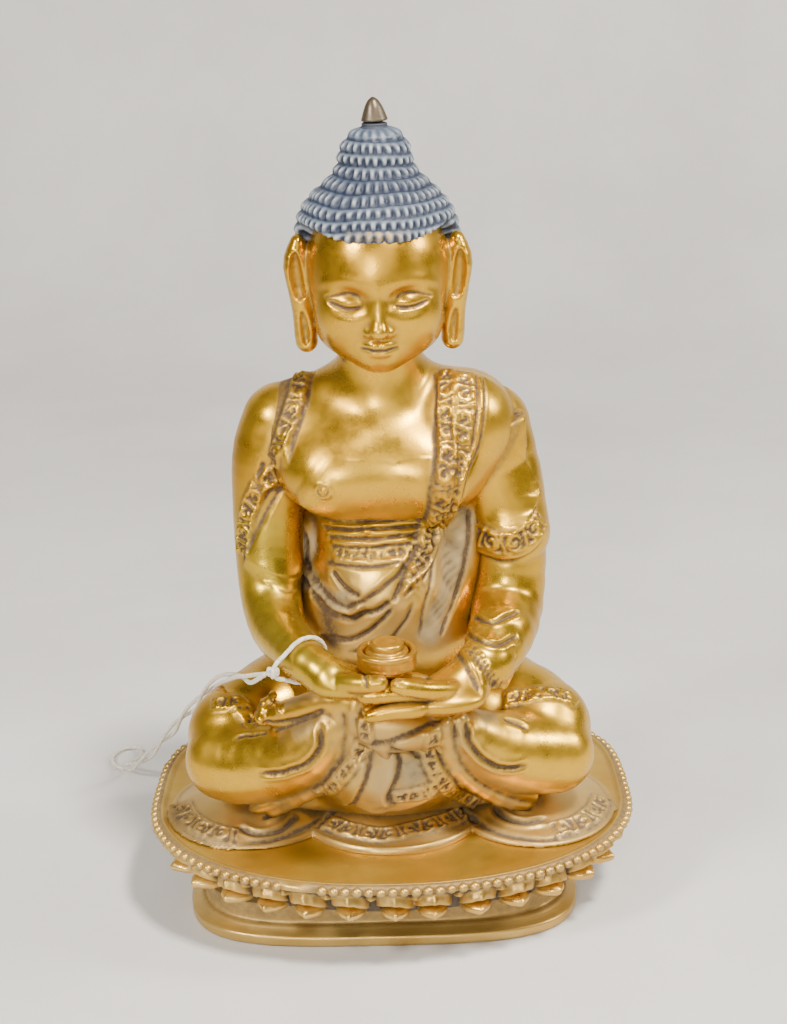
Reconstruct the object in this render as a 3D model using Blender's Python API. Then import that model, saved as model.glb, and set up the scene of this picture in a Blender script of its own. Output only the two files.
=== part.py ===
"""A seated Buddha on a lotus pedestal, cast in brass: figure, pedestal, alms bowl and tag string.

The frame stands on the foot's underside: origin at its centre, +X to the viewer's right,
-Y towards the viewer, +Z up. Lengths are written in millimetres times MM.
"""

import math

import bmesh
import bpy
from mathutils import Matrix, Vector

MM = 0.001
GAP = 0.3 * MM

# Pedestal: a rounded plan, fuller at the back than at the front.
RIM_HALF_WIDTH = 63.0 * MM
RIM_HALF_DEPTH = 49.5 * MM
FRONT_ROUNDNESS = 2.15
BACK_ROUNDNESS = 4.0
DECK_TOP = 25.0 * MM
DECK_THICKNESS = 2.5 * MM
BEAD_WIDTH = 2.4 * MM
PETAL_COUNT = 32
PETAL_BOTTOM = 10.0 * MM
FOOT_INSET = 13.5 * MM
PLATE_THICKNESS = 1.2 * MM

# Figure: its parts are placed in a frame that sits forward of the pedestal's centre.
FIGURE_SHIFT = Vector((0.0, -5.0 * MM, 0.0))
HEM_TOP = 28.6 * MM
WAIST_HEIGHT = 60.0 * MM
NECK_HEIGHT = 141.5 * MM
HAIRLINE_HEIGHT = 173.0 * MM
NAPE_HEIGHT = 156.0 * MM
HAIR_TOP = 197.0 * MM
TOTAL_HEIGHT = 205.0 * MM

BOWL_AXIS = Vector((0.0, -37.0 * MM, 0.0)) + FIGURE_SHIFT
BOWL_BOTTOM = 78.5 * MM
BOWL_RADIUS = 7.1 * MM

PIN_RADIUS = 2.0 * MM
PIN_SPACING = 44.0 * MM
PIN_BACK = 10.0 * MM
SPIGOT_RADIUS = 4.0 * MM

# Tag string: two strands, twisted slightly round each other, out to a loop end and back.
STRING_DIAMETER = 1.1 * MM
STRAND_OFFSET = 0.85 * MM
STRAND_TWIST = 5.5
WRIST_RING_CENTRE = Vector((-19.4, -36.6, 79.2)) * MM
WRIST_RING_RADIUS = 6.5 * MM
WRIST_DIRECTION = Vector((9.3, -13.2, -2.0))
KNOT_RADIUS = 1.4 * MM
KNOT_ANGLE = math.radians(-5)
STRING_ROUTE = (
    (-27.8, -39.4, 77.2),
    (-30.6, -34.6, 74.3),
    (-33.8, -26.6, 70.4),
    (-37.4, -16.0, 66.6),
    (-42.4, -6.0, 61.6),
    (-47.0, 3.0, 54.6),
    (-51.6, 14.0, 45.8),
    (-56.2, 25.0, 37.4),
    (-60.6, 35.0, 29.0),
    (-65.6, 45.0, 20.2),
    (-70.8, 55.0, 11.6),
    (-76.0, 63.5, 4.4),
    (-79.6, 68.6, 1.8),
)
LOOP_ROUTE = (
    (-82.6, 70.4, 0.9),
    (-84.6, 74.4, 0.8),
    (-84.6, 79.4, 0.8),
    (-81.8, 83.4, 0.8),
    (-78.0, 83.2, 0.8),
    (-76.4, 79.2, 0.9),
    (-77.4, 73.8, 1.2),
)

BRASS = ("brass", (0.55, 0.36, 0.10, 1.0), 0.32, 1.0)
DULL_BRASS = ("dull_brass", (0.42, 0.30, 0.16, 1.0), 0.5, 0.9)
COPPER = ("copper_plate", (0.45, 0.22, 0.12, 1.0), 0.45, 1.0)
HAIR_PAINT = ("hair_paint", (0.09, 0.13, 0.19, 1.0), 0.7, 0.0)
COTTON = ("cotton", (0.72, 0.68, 0.58, 1.0), 0.9, 0.0)


def clear_scene():
    for obj in list(bpy.data.objects):
        bpy.data.objects.remove(obj, do_unlink=True)


def material(spec):
    """The Principled material of this name, made once."""
    name, colour, roughness, metallic = spec
    found = bpy.data.materials.get(name)
    if found is None:
        found = bpy.data.materials.new(name)
        found.use_nodes = True
        shader = found.node_tree.nodes["Principled BSDF"]
        shader.inputs["Base Color"].default_value = colour
        shader.inputs["Roughness"].default_value = roughness
        shader.inputs["Metallic"].default_value = metallic
    return found


def add_object(name, bm, spec, location=Vector()):
    """Links the bmesh as a named object and frees it."""
    bmesh.ops.recalc_face_normals(bm, faces=bm.faces)
    mesh = bpy.data.meshes.new(name)
    bm.to_mesh(mesh)
    bm.free()
    obj = bpy.data.objects.new(name, mesh)
    obj.location = location
    obj.data.materials.append(material(spec))
    bpy.context.scene.collection.objects.link(obj)
    return obj


def freeze(obj):
    """Applies the object's modifiers to its mesh."""
    bpy.context.view_layer.update()
    graph = bpy.context.evaluated_depsgraph_get()
    mesh = bpy.data.meshes.new_from_object(obj.evaluated_get(graph))
    obj.modifiers.clear()
    obj.data = mesh


def keep_largest_body(obj):
    """Deletes the crumbs that a cut leaves beside the main body."""
    bm = bmesh.new()
    bm.from_mesh(obj.data)
    unseen = set(bm.verts)
    bodies = []
    while unseen:
        stack = [unseen.pop()]
        body = set(stack)
        while stack:
            for edge in stack.pop().link_edges:
                for vert in edge.verts:
                    if vert not in body:
                        body.add(vert)
                        stack.append(vert)
        unseen -= body
        bodies.append(body)
    bodies.sort(key=len)
    crumbs = [vert for body in bodies[:-1] for vert in body]
    bmesh.ops.delete(bm, geom=crumbs, context="VERTS")
    bm.to_mesh(obj.data)
    bm.free()


def boolean(obj, other, operation="DIFFERENCE"):
    """Applies a Boolean with a helper, and removes the helper."""
    other.hide_render = True
    other.display_type = "WIRE"
    modifier = obj.modifiers.new("cut", "BOOLEAN")
    modifier.operation = operation
    modifier.object = other
    modifier.solver = "EXACT"
    freeze(obj)
    bpy.data.objects.remove(other, do_unlink=True)


def grown_copy(obj, growth):
    """A helper with the object's shape, swollen along its normals."""
    bm = bmesh.new()
    bm.from_mesh(obj.data)
    bm.normal_update()
    moves = [vert.normal * growth for vert in bm.verts]
    for vert, move in zip(bm.verts, moves):
        vert.co += move
    return add_object(obj.name + "_grown", bm, BRASS, obj.location.copy())


def clear_of(obj, *neighbours):
    """Cuts the object back to a clearance from each neighbour."""
    for neighbour in neighbours:
        boolean(obj, grown_copy(neighbour, 1.4 * GAP))
    keep_largest_body(obj)


def add_box(name, low, high):
    bm = bmesh.new()
    bmesh.ops.create_cube(bm, size=1.0)
    low, high = Vector(low), Vector(high)
    for vert in bm.verts:
        vert.co = Vector(
            (low[i] + (vert.co[i] + 0.5) * (high[i] - low[i])) for i in range(3)
        )
    return add_object(name, bm, BRASS)


def cut_below(obj, height):
    reach = 200 * MM
    boolean(obj, add_box("below", (-reach, -reach, -reach), (reach, reach, height)))


def cut_above(obj, height):
    reach = 200 * MM
    boolean(obj, add_box("above", (-reach, -reach, height), (reach, reach, 2 * reach)))


def drill(obj, centre, radius, low, high):
    """Cuts a round hole along Z."""
    bm = bmesh.new()
    bmesh.ops.create_cone(
        bm, cap_ends=True, segments=20, radius1=radius, radius2=radius, depth=high - low
    )
    hole = add_object("hole", bm, BRASS)
    hole.location = (centre.x, centre.y, (low + high) / 2)
    boolean(obj, hole)


def add_ball(bm, centre, radii):
    scale = Matrix.Diagonal(Vector(radii) * MM).to_4x4()
    place = Matrix.Translation(Vector(centre) * MM)
    bmesh.ops.create_icosphere(bm, subdivisions=3, radius=1.0, matrix=place @ scale)


def add_rod(bm, start, start_radius, end, end_radius):
    """A tapered rod with round ends."""
    start, end = Vector(start), Vector(end)
    add_ball(bm, start, (start_radius,) * 3)
    add_ball(bm, end, (end_radius,) * 3)
    turn = (end - start).to_track_quat("Z", "Y").to_matrix().to_4x4()
    place = Matrix.Translation((start + end) / 2 * MM) @ turn
    bmesh.ops.create_cone(
        bm,
        cap_ends=True,
        segments=24,
        radius1=start_radius * MM,
        radius2=end_radius * MM,
        depth=(end - start).length * MM,
        matrix=place,
    )


def blended(name, balls, rods, spec, triangles, voxel=1.3 * MM, smoothing=6):
    """One smooth closed body from overlapping balls and tapered rods, in the figure's frame."""
    bm = bmesh.new()
    for centre, radii in balls:
        add_ball(bm, centre, radii)
    for chain in rods:
        for (start, start_radius), (end, end_radius) in zip(chain, chain[1:]):
            add_rod(bm, start, start_radius, end, end_radius)
    obj = add_object(name, bm, spec)
    remesh = obj.modifiers.new("one_body", "REMESH")
    remesh.mode = "VOXEL"
    remesh.voxel_size = voxel
    smooth = obj.modifiers.new("blend", "SMOOTH")
    smooth.factor = 0.5
    smooth.iterations = smoothing
    freeze(obj)
    decimate = obj.modifiers.new("coarsen", "DECIMATE")
    decimate.ratio = triangles / (2 * len(obj.data.polygons))
    freeze(obj)
    for vert in obj.data.vertices:
        vert.co += FIGURE_SHIFT
    return obj


def mirrored(chain):
    return tuple(((-x, y, z), radius) for (x, y, z), radius in chain)


def plan_points(inset, count):
    """Evenly spaced points of the pedestal's plan, from the middle of the front, inset from the rim."""
    dense = 1440
    half_width = RIM_HALF_WIDTH - inset
    half_depth = RIM_HALF_DEPTH - inset
    points = []
    for i in range(dense + 1):
        angle = -math.pi / 2 + 2 * math.pi * i / dense
        c, s = math.cos(angle), math.sin(angle)
        power = 2 / (FRONT_ROUNDNESS if s < 0 else BACK_ROUNDNESS)
        x = half_width * math.copysign(abs(c) ** power, c)
        y = half_depth * math.copysign(abs(s) ** power, s)
        points.append(Vector((x, y)))
    lengths = [0.0]
    for first, second in zip(points, points[1:]):
        lengths.append(lengths[-1] + (second - first).length)
    spaced = []
    at = 0
    for i in range(count):
        wanted = lengths[-1] * i / count
        while lengths[at + 1] < wanted:
            at += 1
        share = (wanted - lengths[at]) / (lengths[at + 1] - lengths[at])
        spaced.append(points[at].lerp(points[at + 1], share))
    return spaced


def add_plate(name, inset, low, high, spec, count=72):
    """A flat plate with the pedestal's plan."""
    bm = bmesh.new()
    ring = [bm.verts.new((p.x, p.y, low)) for p in plan_points(inset, count)]
    face = bm.faces.new(ring)
    raised = bmesh.ops.extrude_face_region(bm, geom=[face])
    for item in raised["geom"]:
        if isinstance(item, bmesh.types.BMVert):
            item.co.z = high
    return add_object(name, bm, spec)


def add_ring(name, profile, count, spec, bulge=None):
    """A closed ring round the pedestal's plan. The profile is a loop of (inset, height, bulge share)."""
    bm = bmesh.new()
    rows = []
    for inset, height, share in profile:
        lobes = [share * bulge(i) if bulge else 0.0 for i in range(count)]
        flat = plan_points(inset, count)
        row = []
        for point, lobe in zip(flat, lobes):
            outward = point.normalized() * lobe
            row.append(bm.verts.new((point.x + outward.x, point.y + outward.y, height)))
        rows.append(row)
    for j, row in enumerate(rows):
        below = rows[(j + 1) % len(rows)]
        for i in range(count):
            k = (i + 1) % count
            bm.faces.new((row[i], row[k], below[k], below[i]))
    return add_object(name, bm, spec)


def add_turned(name, profile, spec, axis=Vector(), steps=28):
    """A solid of revolution about a vertical axis. The profile runs from axis to axis."""
    bm = bmesh.new()
    verts = [bm.verts.new((radius, 0.0, height)) for radius, height in profile]
    for first, second in zip(verts, verts[1:]):
        bm.edges.new((first, second))
    bmesh.ops.spin(
        bm,
        geom=list(bm.verts) + list(bm.edges),
        cent=(0, 0, 0),
        axis=(0, 0, 1),
        angle=2 * math.pi,
        steps=steps,
        use_merge=True,
    )
    bmesh.ops.remove_doubles(bm, verts=bm.verts, dist=0.00001)
    obj = add_object(name, bm, spec, Vector((axis.x, axis.y, 0.0)))
    obj.data.shade_smooth()
    obj.data.set_sharp_from_angle(angle=math.radians(35))
    return obj


def build_pedestal():
    """Foot, bottom plate, petal band, beaded rim and deck."""
    rebate = FOOT_INSET + 3.0 * MM
    waist = 15.5 * MM
    wall = 19.0 * MM
    ledge = PLATE_THICKNESS + GAP
    foot_top = PETAL_BOTTOM - GAP
    foot_profile = (
        (FOOT_INSET + 0.6 * MM, 0.0, 0),
        (FOOT_INSET, 0.6 * MM, 0),
        (FOOT_INSET, 5.0 * MM, 0),
        (waist, 7.0 * MM, 0),
        (waist, foot_top, 0),
        (wall, foot_top, 0),
        (wall, ledge, 0),
        (rebate, ledge, 0),
        (rebate, 0.0, 0),
    )
    add_ring("pedestal_foot", foot_profile, 72, BRASS)
    add_plate("base_plate", rebate + GAP, 0.0, PLATE_THICKNESS, COPPER)

    per_petal = 6

    def petal_bulge(i):
        return abs(math.cos(math.pi * i / per_petal)) * 3.0 * MM

    band_top = DECK_TOP - DECK_THICKNESS - GAP
    petal_profile = (
        (9.0 * MM, band_top, 0),
        (3.5 * MM, band_top, 0),
        (4.0 * MM, band_top - 2.2 * MM, 0.8),
        (7.0 * MM, band_top - 5.0 * MM, 0.2),
        (5.5 * MM, band_top - 8.0 * MM, 1.0),
        (11.5 * MM, PETAL_BOTTOM, 0.2),
        (15.0 * MM, PETAL_BOTTOM, 0),
    )
    add_ring("lotus_petals", petal_profile, PETAL_COUNT * per_petal, DULL_BRASS, petal_bulge)

    rim_low = DECK_TOP - DECK_THICKNESS
    rim_profile = (
        (BEAD_WIDTH, rim_low, 0),
        (BEAD_WIDTH, DECK_TOP - 0.4 * MM, 0),
        (0.7 * BEAD_WIDTH, DECK_TOP, 0),
        (0.3 * BEAD_WIDTH, DECK_TOP, 0),
        (0.0, DECK_TOP - 0.9 * MM, 0),
        (0.0, rim_low + 0.7 * MM, 0),
        (0.3 * BEAD_WIDTH, rim_low, 0),
    )
    add_ring("bead_rim", rim_profile, 96, BRASS)
    deck = add_plate("pedestal_deck", BEAD_WIDTH + GAP, rim_low, DECK_TOP, BRASS)
    return deck


def build_hem():
    """The robe's hem spread on the deck: two side lobes, a middle lobe and the back."""
    lobes = (
        ((0.0, -5.0), (23.5, 22.0)),
        ((-35.0, 0.0), (22.5, 22.8)),
        ((36.5, -2.0), (21.0, 23.0)),
        ((0.0, 12.0), (51.0, 25.0)),
    )
    low = DECK_TOP + GAP
    hem = None
    for (x, y), (half_width, half_depth) in lobes:
        bm = bmesh.new()
        bmesh.ops.create_cone(
            bm, cap_ends=True, segments=32, radius1=1.0, radius2=0.94, depth=HEM_TOP - low
        )
        for vert in bm.verts:
            vert.co.x = vert.co.x * half_width * MM + x * MM + FIGURE_SHIFT.x
            vert.co.y = vert.co.y * half_depth * MM + y * MM + FIGURE_SHIFT.y
            vert.co.z += (low + HEM_TOP) / 2
        lobe = add_object("robe_hem", bm, DULL_BRASS)
        if hem is None:
            hem = lobe
        else:
            boolean(hem, lobe, "UNION")
    return hem


def build_torso():
    balls = (
        ((0, -3, 118), (27, 17.5, 20)),
        ((0, 8, 112), (28, 13, 26)),
        ((0, -2, 94), (20, 19, 15)),
        ((0, 6, 76), (26, 21, 26)),
        ((20, -4, 88), (8, 8, 20)),
    )
    rods = (
        (((-20, 1, 129), 10), ((20, 1, 129), 10)),
        (((0, -1, 134), 10.5), ((0, -3, 150), 9.8)),
    )
    torso = blended("torso", balls, rods, BRASS, 1000)
    core = (((0, 2, 50), 14), ((0, 3, 84), 13), ((0, 3, 112), 12))
    chest_core = (((-12, 3, 114), 9), ((12, 3, 114), 9))
    boolean(torso, blended("torso_core", (), (core, chest_core), BRASS, 240))
    cut_below(torso, WAIST_HEIGHT)
    cut_above(torso, NECK_HEIGHT)
    return torso


def build_legs():
    thigh = (((-17, 13, 48), 17), ((-31, 5, 48), 14), ((-38.5, -3, 46.5), 12.6))
    knee = (((-40.5, -10, 44), 10.6), ((-34, -14, 45), 10.2), ((-26, -19, 48), 9), ((-18, -23, 53), 7))
    hips = (((-17, 13, 48), 18), ((17, 13, 48), 18))
    foot = (((-29, -19, 60), 3.6), ((-12, -25, 61.5), 4.2))
    balls = (
        ((0, -13, 48), (23, 18, 14.5)),
        ((0, -6, 39), (24, 18.5, 12)),
    )
    rods = (thigh + knee, mirrored(thigh + knee), hips, foot)
    legs = blended("crossed_legs", balls, rods, BRASS, 1300)
    seat_core = (((0, 0, 20), 13), ((0, 0, 75), 13))
    knee_core = (((-31, -6, 46), 6.5), ((0, -10, 43), 8), ((31, -6, 46), 6.5))
    boolean(legs, blended("legs_core", (), (seat_core, knee_core), BRASS, 260))
    cut_below(legs, HEM_TOP + GAP)
    return legs


def build_head():
    balls = (
        ((0, 0, 170), (17, 17.5, 18)),
        ((0, -4, 160), (15, 14.5, 14)),
        ((-18.8, 0, 165), (2.3, 4.2, 6.5)),
        ((18.8, 0, 165), (2.3, 4.2, 6.5)),
        ((-18, -1, 152.5), (2.2, 3.2, 7.5)),
        ((18, -1, 152.5), (2.2, 3.2, 7.5)),
        ((0, -17.5, 159.5), (2.6, 3.0, 4.5)),
    )
    rods = ((((0, -3, 136), 9.6), ((0, -2, 152), 9.6)),)
    head = blended("head", balls, rods, BRASS, 1100, voxel=1.0 * MM, smoothing=4)
    cut_below(head, NECK_HEIGHT + GAP)
    return head


def build_hair():
    balls = (
        ((0, 1.5, 173), (18.9, 19.5, 15)),
        ((0, 8, 166), (16.5, 13.5, 14)),
    )
    rods = ((((0, 2, 184), 10), ((0, 2, 190.5), 8)),)
    hair = blended("hair", balls, rods, HAIR_PAINT, 800, voxel=1.0 * MM, smoothing=4)
    reach = 60 * MM
    hair_front = FIGURE_SHIFT.y + 5 * MM
    boolean(hair, add_box("face", (-reach, -reach, 0.0), (reach, hair_front, HAIRLINE_HEIGHT)))
    cut_below(hair, NAPE_HEIGHT)
    cut_above(hair, HAIR_TOP)
    return hair


def build_finial():
    """Collar and bell-shaped jewel on the crown."""
    axis = Vector((0.0, 2.0 * MM, 0.0)) + FIGURE_SHIFT
    collar_top = HAIR_TOP + 2.2 * MM
    collar_profile = (
        (0.0, HAIR_TOP + GAP),
        (3.3 * MM, HAIR_TOP + GAP),
        (3.0 * MM, collar_top),
        (0.0, collar_top),
    )
    add_turned("finial_collar", collar_profile, DULL_BRASS, axis, 20)
    low = collar_top + GAP
    jewel_profile = (
        (0.0, low),
        (2.9 * MM, low),
        (2.7 * MM, low + 1.4 * MM),
        (1.9 * MM, low + 3.0 * MM),
        (1.0 * MM, low + 4.6 * MM),
        (0.0, TOTAL_HEIGHT),
    )
    add_turned("finial_jewel", jewel_profile, BRASS, axis, 20)


def build_arms(torso, legs, bowl):
    """The bare right arm and the sleeved left arm, with their hands stacked in the lap."""
    left_hand = (((21, -33, 75.5), 5.4), ((12, -36, 72.6), 3.9), ((-7, -39, 71.2), 2.4))
    left_chain = (
        ((26, 1, 126), 10),
        ((31, -1, 104), 8.8),
        ((30, -5, 84), 8.6),
        ((26.5, -22, 78), 7.0),
    )
    cuff = (((30.5, -1, 110), 8.4), ((31.2, -2, 101.5), 9.0))
    left_arm = blended("left_arm", (), (left_chain + left_hand, cuff), BRASS, 800, 1.0 * MM, 4)
    right_hand = (((-18.6, -32, 79.2), 4.9), ((-12.5, -37, 76.8), 4.0), ((8, -39.5, 75.8), 2.4))
    right_chain = (
        ((-26, 1, 126), 10),
        ((-28.5, 0, 106), 8.2),
        ((-28.4, -6, 85), 7.4),
        ((-24, -21, 80.2), 6.0),
    )
    thumb = (((-14, -38, 78.6), 2.2), ((-8.6, -42, 78.6), 1.8))
    right_arm = blended("right_arm", (), (right_chain + right_hand, thumb), BRASS, 850, 1.0 * MM, 4)
    clear_of(left_arm, torso, legs)
    clear_of(right_arm, torso, legs, left_arm, bowl)
    return right_arm, left_arm


def build_bowl():
    """The alms bowl and the domed offering that fills it."""
    rim = BOWL_BOTTOM + 5.6 * MM
    floor = BOWL_BOTTOM + 1.6 * MM
    bore = 5.4 * MM
    bowl_profile = (
        (0.0, BOWL_BOTTOM),
        (5.3 * MM, BOWL_BOTTOM),
        (5.6 * MM, BOWL_BOTTOM + 1.4 * MM),
        (BOWL_RADIUS - 0.2 * MM, BOWL_BOTTOM + 2.2 * MM),
        (BOWL_RADIUS, BOWL_BOTTOM + 3.6 * MM),
        (BOWL_RADIUS - 0.5 * MM, rim),
        (bore, rim),
        (bore, floor),
        (0.0, floor),
    )
    bowl = add_turned("alms_bowl", bowl_profile, BRASS, BOWL_AXIS)
    offering_profile = (
        (0.0, floor + GAP),
        (bore - GAP, floor + GAP),
        (bore - GAP, rim + 0.8 * MM),
        (3.6 * MM, rim + 1.5 * MM),
        (0.0, rim + 1.8 * MM),
    )
    add_turned("bowl_offering", offering_profile, BRASS, BOWL_AXIS)
    return bowl


def build_fixings(deck, hem, legs, torso, head):
    """Two headed pins up through the deck into the legs, and a spigot in the neck."""
    for side, name in ((-1, "fixing_pin_right"), (1, "fixing_pin_left")):
        centre = Vector((side * PIN_SPACING / 2, PIN_BACK, 0.0)) + FIGURE_SHIFT
        head_low = DECK_TOP - DECK_THICKNESS - 2.0 * MM
        head_top = DECK_TOP - DECK_THICKNESS - GAP
        tip = DECK_TOP + 13.0 * MM
        profile = (
            (0.0, head_low),
            (3.6 * MM, head_low),
            (3.6 * MM, head_top),
            (PIN_RADIUS, head_top),
            (PIN_RADIUS, tip),
            (0.0, tip),
        )
        add_turned(name, profile, COPPER, centre, 16)
        for piece in (deck, hem, legs):
            drill(piece, centre, PIN_RADIUS + GAP, head_top - MM, tip + GAP)
    neck = Vector((0.0, -2.0 * MM, 0.0)) + FIGURE_SHIFT
    low, high = NECK_HEIGHT - 7.0 * MM, NECK_HEIGHT + 7.0 * MM
    spigot = ((0.0, low), (SPIGOT_RADIUS, low), (SPIGOT_RADIUS, high), (0.0, high))
    add_turned("neck_spigot", spigot, COPPER, neck, 16)
    for piece in (torso, head):
        drill(piece, neck, SPIGOT_RADIUS + GAP, low - GAP, high + GAP)


def smooth_path(route, count):
    """Evenly spaced points of a smooth curve through the route's points."""
    knots = [Vector(point) * MM for point in route]
    knots = [2 * knots[0] - knots[1]] + knots + [2 * knots[-1] - knots[-2]]
    fine = []
    for a, b, c, d in zip(knots, knots[1:], knots[2:], knots[3:]):
        for i in range(12):
            t = i / 12
            fine.append(
                0.5 * ((2 * b) + (c - a) * t + (2 * a - 5 * b + 4 * c - d) * t**2
                       + (3 * b - a - 3 * c + d) * t**3)
            )
    fine.append(knots[-2])
    lengths = [0.0]
    for first, second in zip(fine, fine[1:]):
        lengths.append(lengths[-1] + (second - first).length)
    spaced = []
    at = 0
    for i in range(count):
        wanted = lengths[-1] * i / (count - 1)
        while at < len(lengths) - 2 and lengths[at + 1] < wanted:
            at += 1
        share = (wanted - lengths[at]) / (lengths[at + 1] - lengths[at])
        spaced.append(fine[at].lerp(fine[at + 1], min(share, 1.0)))
    return spaced


def twisted_strands(route, count):
    """Two strands that run side by side along the route, turning about each other."""
    middle = smooth_path(route, count)
    out, back = [], []
    for i, point in enumerate(middle):
        along = (middle[min(i + 1, count - 1)] - middle[max(i - 1, 0)]).normalized()
        side = along.cross(Vector((0, 0, 1))).normalized()
        up = side.cross(along)
        angle = STRAND_TWIST * i / (count - 1) * math.pi
        offset = (side * math.cos(angle) + up * math.sin(angle)) * STRAND_OFFSET
        out.append(point + offset)
        back.append(point - offset)
    return out, back


def add_tube(name, points, diameter, spec, cyclic=False):
    curve = bpy.data.curves.new(name, "CURVE")
    curve.dimensions = "3D"
    curve.bevel_depth = diameter / 2
    curve.bevel_resolution = 2
    curve.use_fill_caps = True
    spline = curve.splines.new("POLY")
    spline.points.add(len(points) - 1)
    for target, point in zip(spline.points, points):
        target.co = (*point, 1.0)
    spline.use_cyclic_u = cyclic
    obj = bpy.data.objects.new(name, curve)
    obj.data.materials.append(material(spec))
    bpy.context.scene.collection.objects.link(obj)
    return obj


def build_string():
    """The tag string: a ring round the right wrist, a knot and the doubled string to its loop end."""
    out, back = twisted_strands(STRING_ROUTE, 32)
    loop = smooth_path(LOOP_ROUTE, 9)
    add_tube("string_main", out + loop + back[::-1], STRING_DIAMETER, COTTON)
    along = WRIST_DIRECTION.normalized()
    side = along.cross(Vector((0, 0, 1))).normalized()
    up = side.cross(along)

    def round_the_wrist(angle, radius):
        return WRIST_RING_CENTRE + (side * math.cos(angle) + up * math.sin(angle)) * radius

    steps = 28
    ring = [round_the_wrist(2 * math.pi * i / steps, WRIST_RING_RADIUS) for i in range(steps)]
    add_tube("string_wrist_ring", ring, STRING_DIAMETER, COTTON, cyclic=True)
    bm = bmesh.new()
    bmesh.ops.create_icosphere(bm, subdivisions=2, radius=KNOT_RADIUS)
    knot_distance = WRIST_RING_RADIUS + STRING_DIAMETER / 2 + GAP + KNOT_RADIUS
    add_object("string_knot", bm, COTTON, round_the_wrist(KNOT_ANGLE, knot_distance))


def main():
    clear_scene()
    deck = build_pedestal()
    hem = build_hem()
    torso = build_torso()
    legs = build_legs()
    clear_of(legs, torso)
    hair = build_hair()
    head = build_head()
    clear_of(head, hair)
    build_finial()
    bowl = build_bowl()
    build_arms(torso, legs, bowl)
    build_fixings(deck, hem, legs, torso, head)
    build_string()


main()
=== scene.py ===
"""Looks of the seated Buddha: sculpted brass surfaces, painted hair and the cotton tag string.

Sculpting is done in millimetres in the figure's own frame, which stands FIGURE_SHIFT forward of
the pedestal's centre. Pieces are made in metres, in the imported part's frame.
"""

import math

import bpy
import numpy as np
from mathutils import Matrix, Vector


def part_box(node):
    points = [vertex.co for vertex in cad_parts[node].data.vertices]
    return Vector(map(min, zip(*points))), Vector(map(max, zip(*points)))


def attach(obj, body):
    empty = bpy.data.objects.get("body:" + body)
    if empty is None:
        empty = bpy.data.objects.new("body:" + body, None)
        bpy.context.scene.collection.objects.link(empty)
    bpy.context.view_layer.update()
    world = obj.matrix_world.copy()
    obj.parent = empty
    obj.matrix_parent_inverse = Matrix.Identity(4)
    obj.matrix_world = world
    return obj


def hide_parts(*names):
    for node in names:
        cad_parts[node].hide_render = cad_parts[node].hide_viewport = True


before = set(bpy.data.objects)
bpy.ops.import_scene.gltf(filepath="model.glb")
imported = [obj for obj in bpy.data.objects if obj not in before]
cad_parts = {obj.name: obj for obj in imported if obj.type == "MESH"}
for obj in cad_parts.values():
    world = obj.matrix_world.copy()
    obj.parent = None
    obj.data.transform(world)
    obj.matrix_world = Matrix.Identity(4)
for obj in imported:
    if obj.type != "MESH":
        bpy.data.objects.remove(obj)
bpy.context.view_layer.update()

MM = 0.001
FIGURE_SHIFT = np.array([0.0, -5.0, 0.0])
VIEWPOINT = np.array([2.3, -443.0, 253.0])
VIEW_PITCH = 18.5
VIEW_ROLL = 1.35
LENS = 66.8
ROUTE_PLANE = -20.0
PATH_SPACING = 0.5


def box_mm(node):
    """Lowest and highest corners of a CAD node, in millimetres."""
    low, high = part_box(node)
    return np.array(low) / MM, np.array(high) / MM


# ---------------------------------------------------------------- camera and string

def add_camera():
    camera = bpy.data.objects.new("camera", bpy.data.cameras.new("camera"))
    camera.data.lens = LENS
    camera.data.sensor_width = 36.0
    camera.data.clip_start = 0.01
    camera.location = Vector(VIEWPOINT + FIGURE_SHIFT) * MM
    turn = Matrix.Rotation(math.radians(90.0 - VIEW_PITCH), 4, "X")
    roll = Matrix.Rotation(math.radians(-VIEW_ROLL), 4, "Z")
    camera.rotation_euler = (turn @ roll).to_euler()
    bpy.context.scene.collection.objects.link(camera)
    bpy.context.scene.camera = camera


STRING_DIAMETER = 1.1
STRAND_OFFSET = 0.85
STRAND_TWIST = 5.5
STRING_ROUTE = (
    (-27.8, -39.4, 77.2), (-30.6, -34.6, 74.3), (-33.8, -26.6, 70.4), (-37.4, -16.0, 66.6),
    (-42.4, -6.0, 61.6), (-47.0, 3.0, 54.6), (-51.6, 14.0, 45.8), (-56.2, 25.0, 37.4),
    (-60.6, 35.0, 29.0), (-65.6, 45.0, 20.2), (-70.8, 55.0, 11.6), (-76.0, 63.5, 4.4),
    (-79.6, 68.6, 1.8),
)
LOOP_ROUTE = (
    (-82.6, 70.4, 0.9), (-84.6, 74.4, 0.8), (-84.6, 79.4, 0.8), (-81.8, 83.4, 0.8),
    (-78.0, 83.2, 0.8), (-76.4, 79.2, 0.9), (-77.4, 73.8, 1.2),
)


def smooth_path(route, count):
    """Evenly spaced points of a smooth curve through the route's points."""
    knots = np.array(route, float)
    knots = np.vstack([2 * knots[0] - knots[1], knots, 2 * knots[-1] - knots[-2]])
    a, b, c, d = (knots[i:len(knots) - 3 + i, None] for i in range(4))
    t = np.linspace(0, 1, 24, endpoint=False)[None, :, None]
    fine = 0.5 * (2 * b + (c - a) * t + (2 * a - 5 * b + 4 * c - d) * t**2
                  + (3 * b - a - 3 * c + d) * t**3)
    fine = np.vstack([fine.reshape(-1, knots.shape[1]), knots[-2]])
    lengths = np.r_[0, np.cumsum(np.linalg.norm(np.diff(fine, axis=0), axis=1))]
    at = np.linspace(0, lengths[-1], count)
    return np.stack([np.interp(at, lengths, column) for column in fine.T], axis=1)


def path_length(points):
    return float(np.linalg.norm(np.diff(points, axis=0), axis=1).sum())


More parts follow.
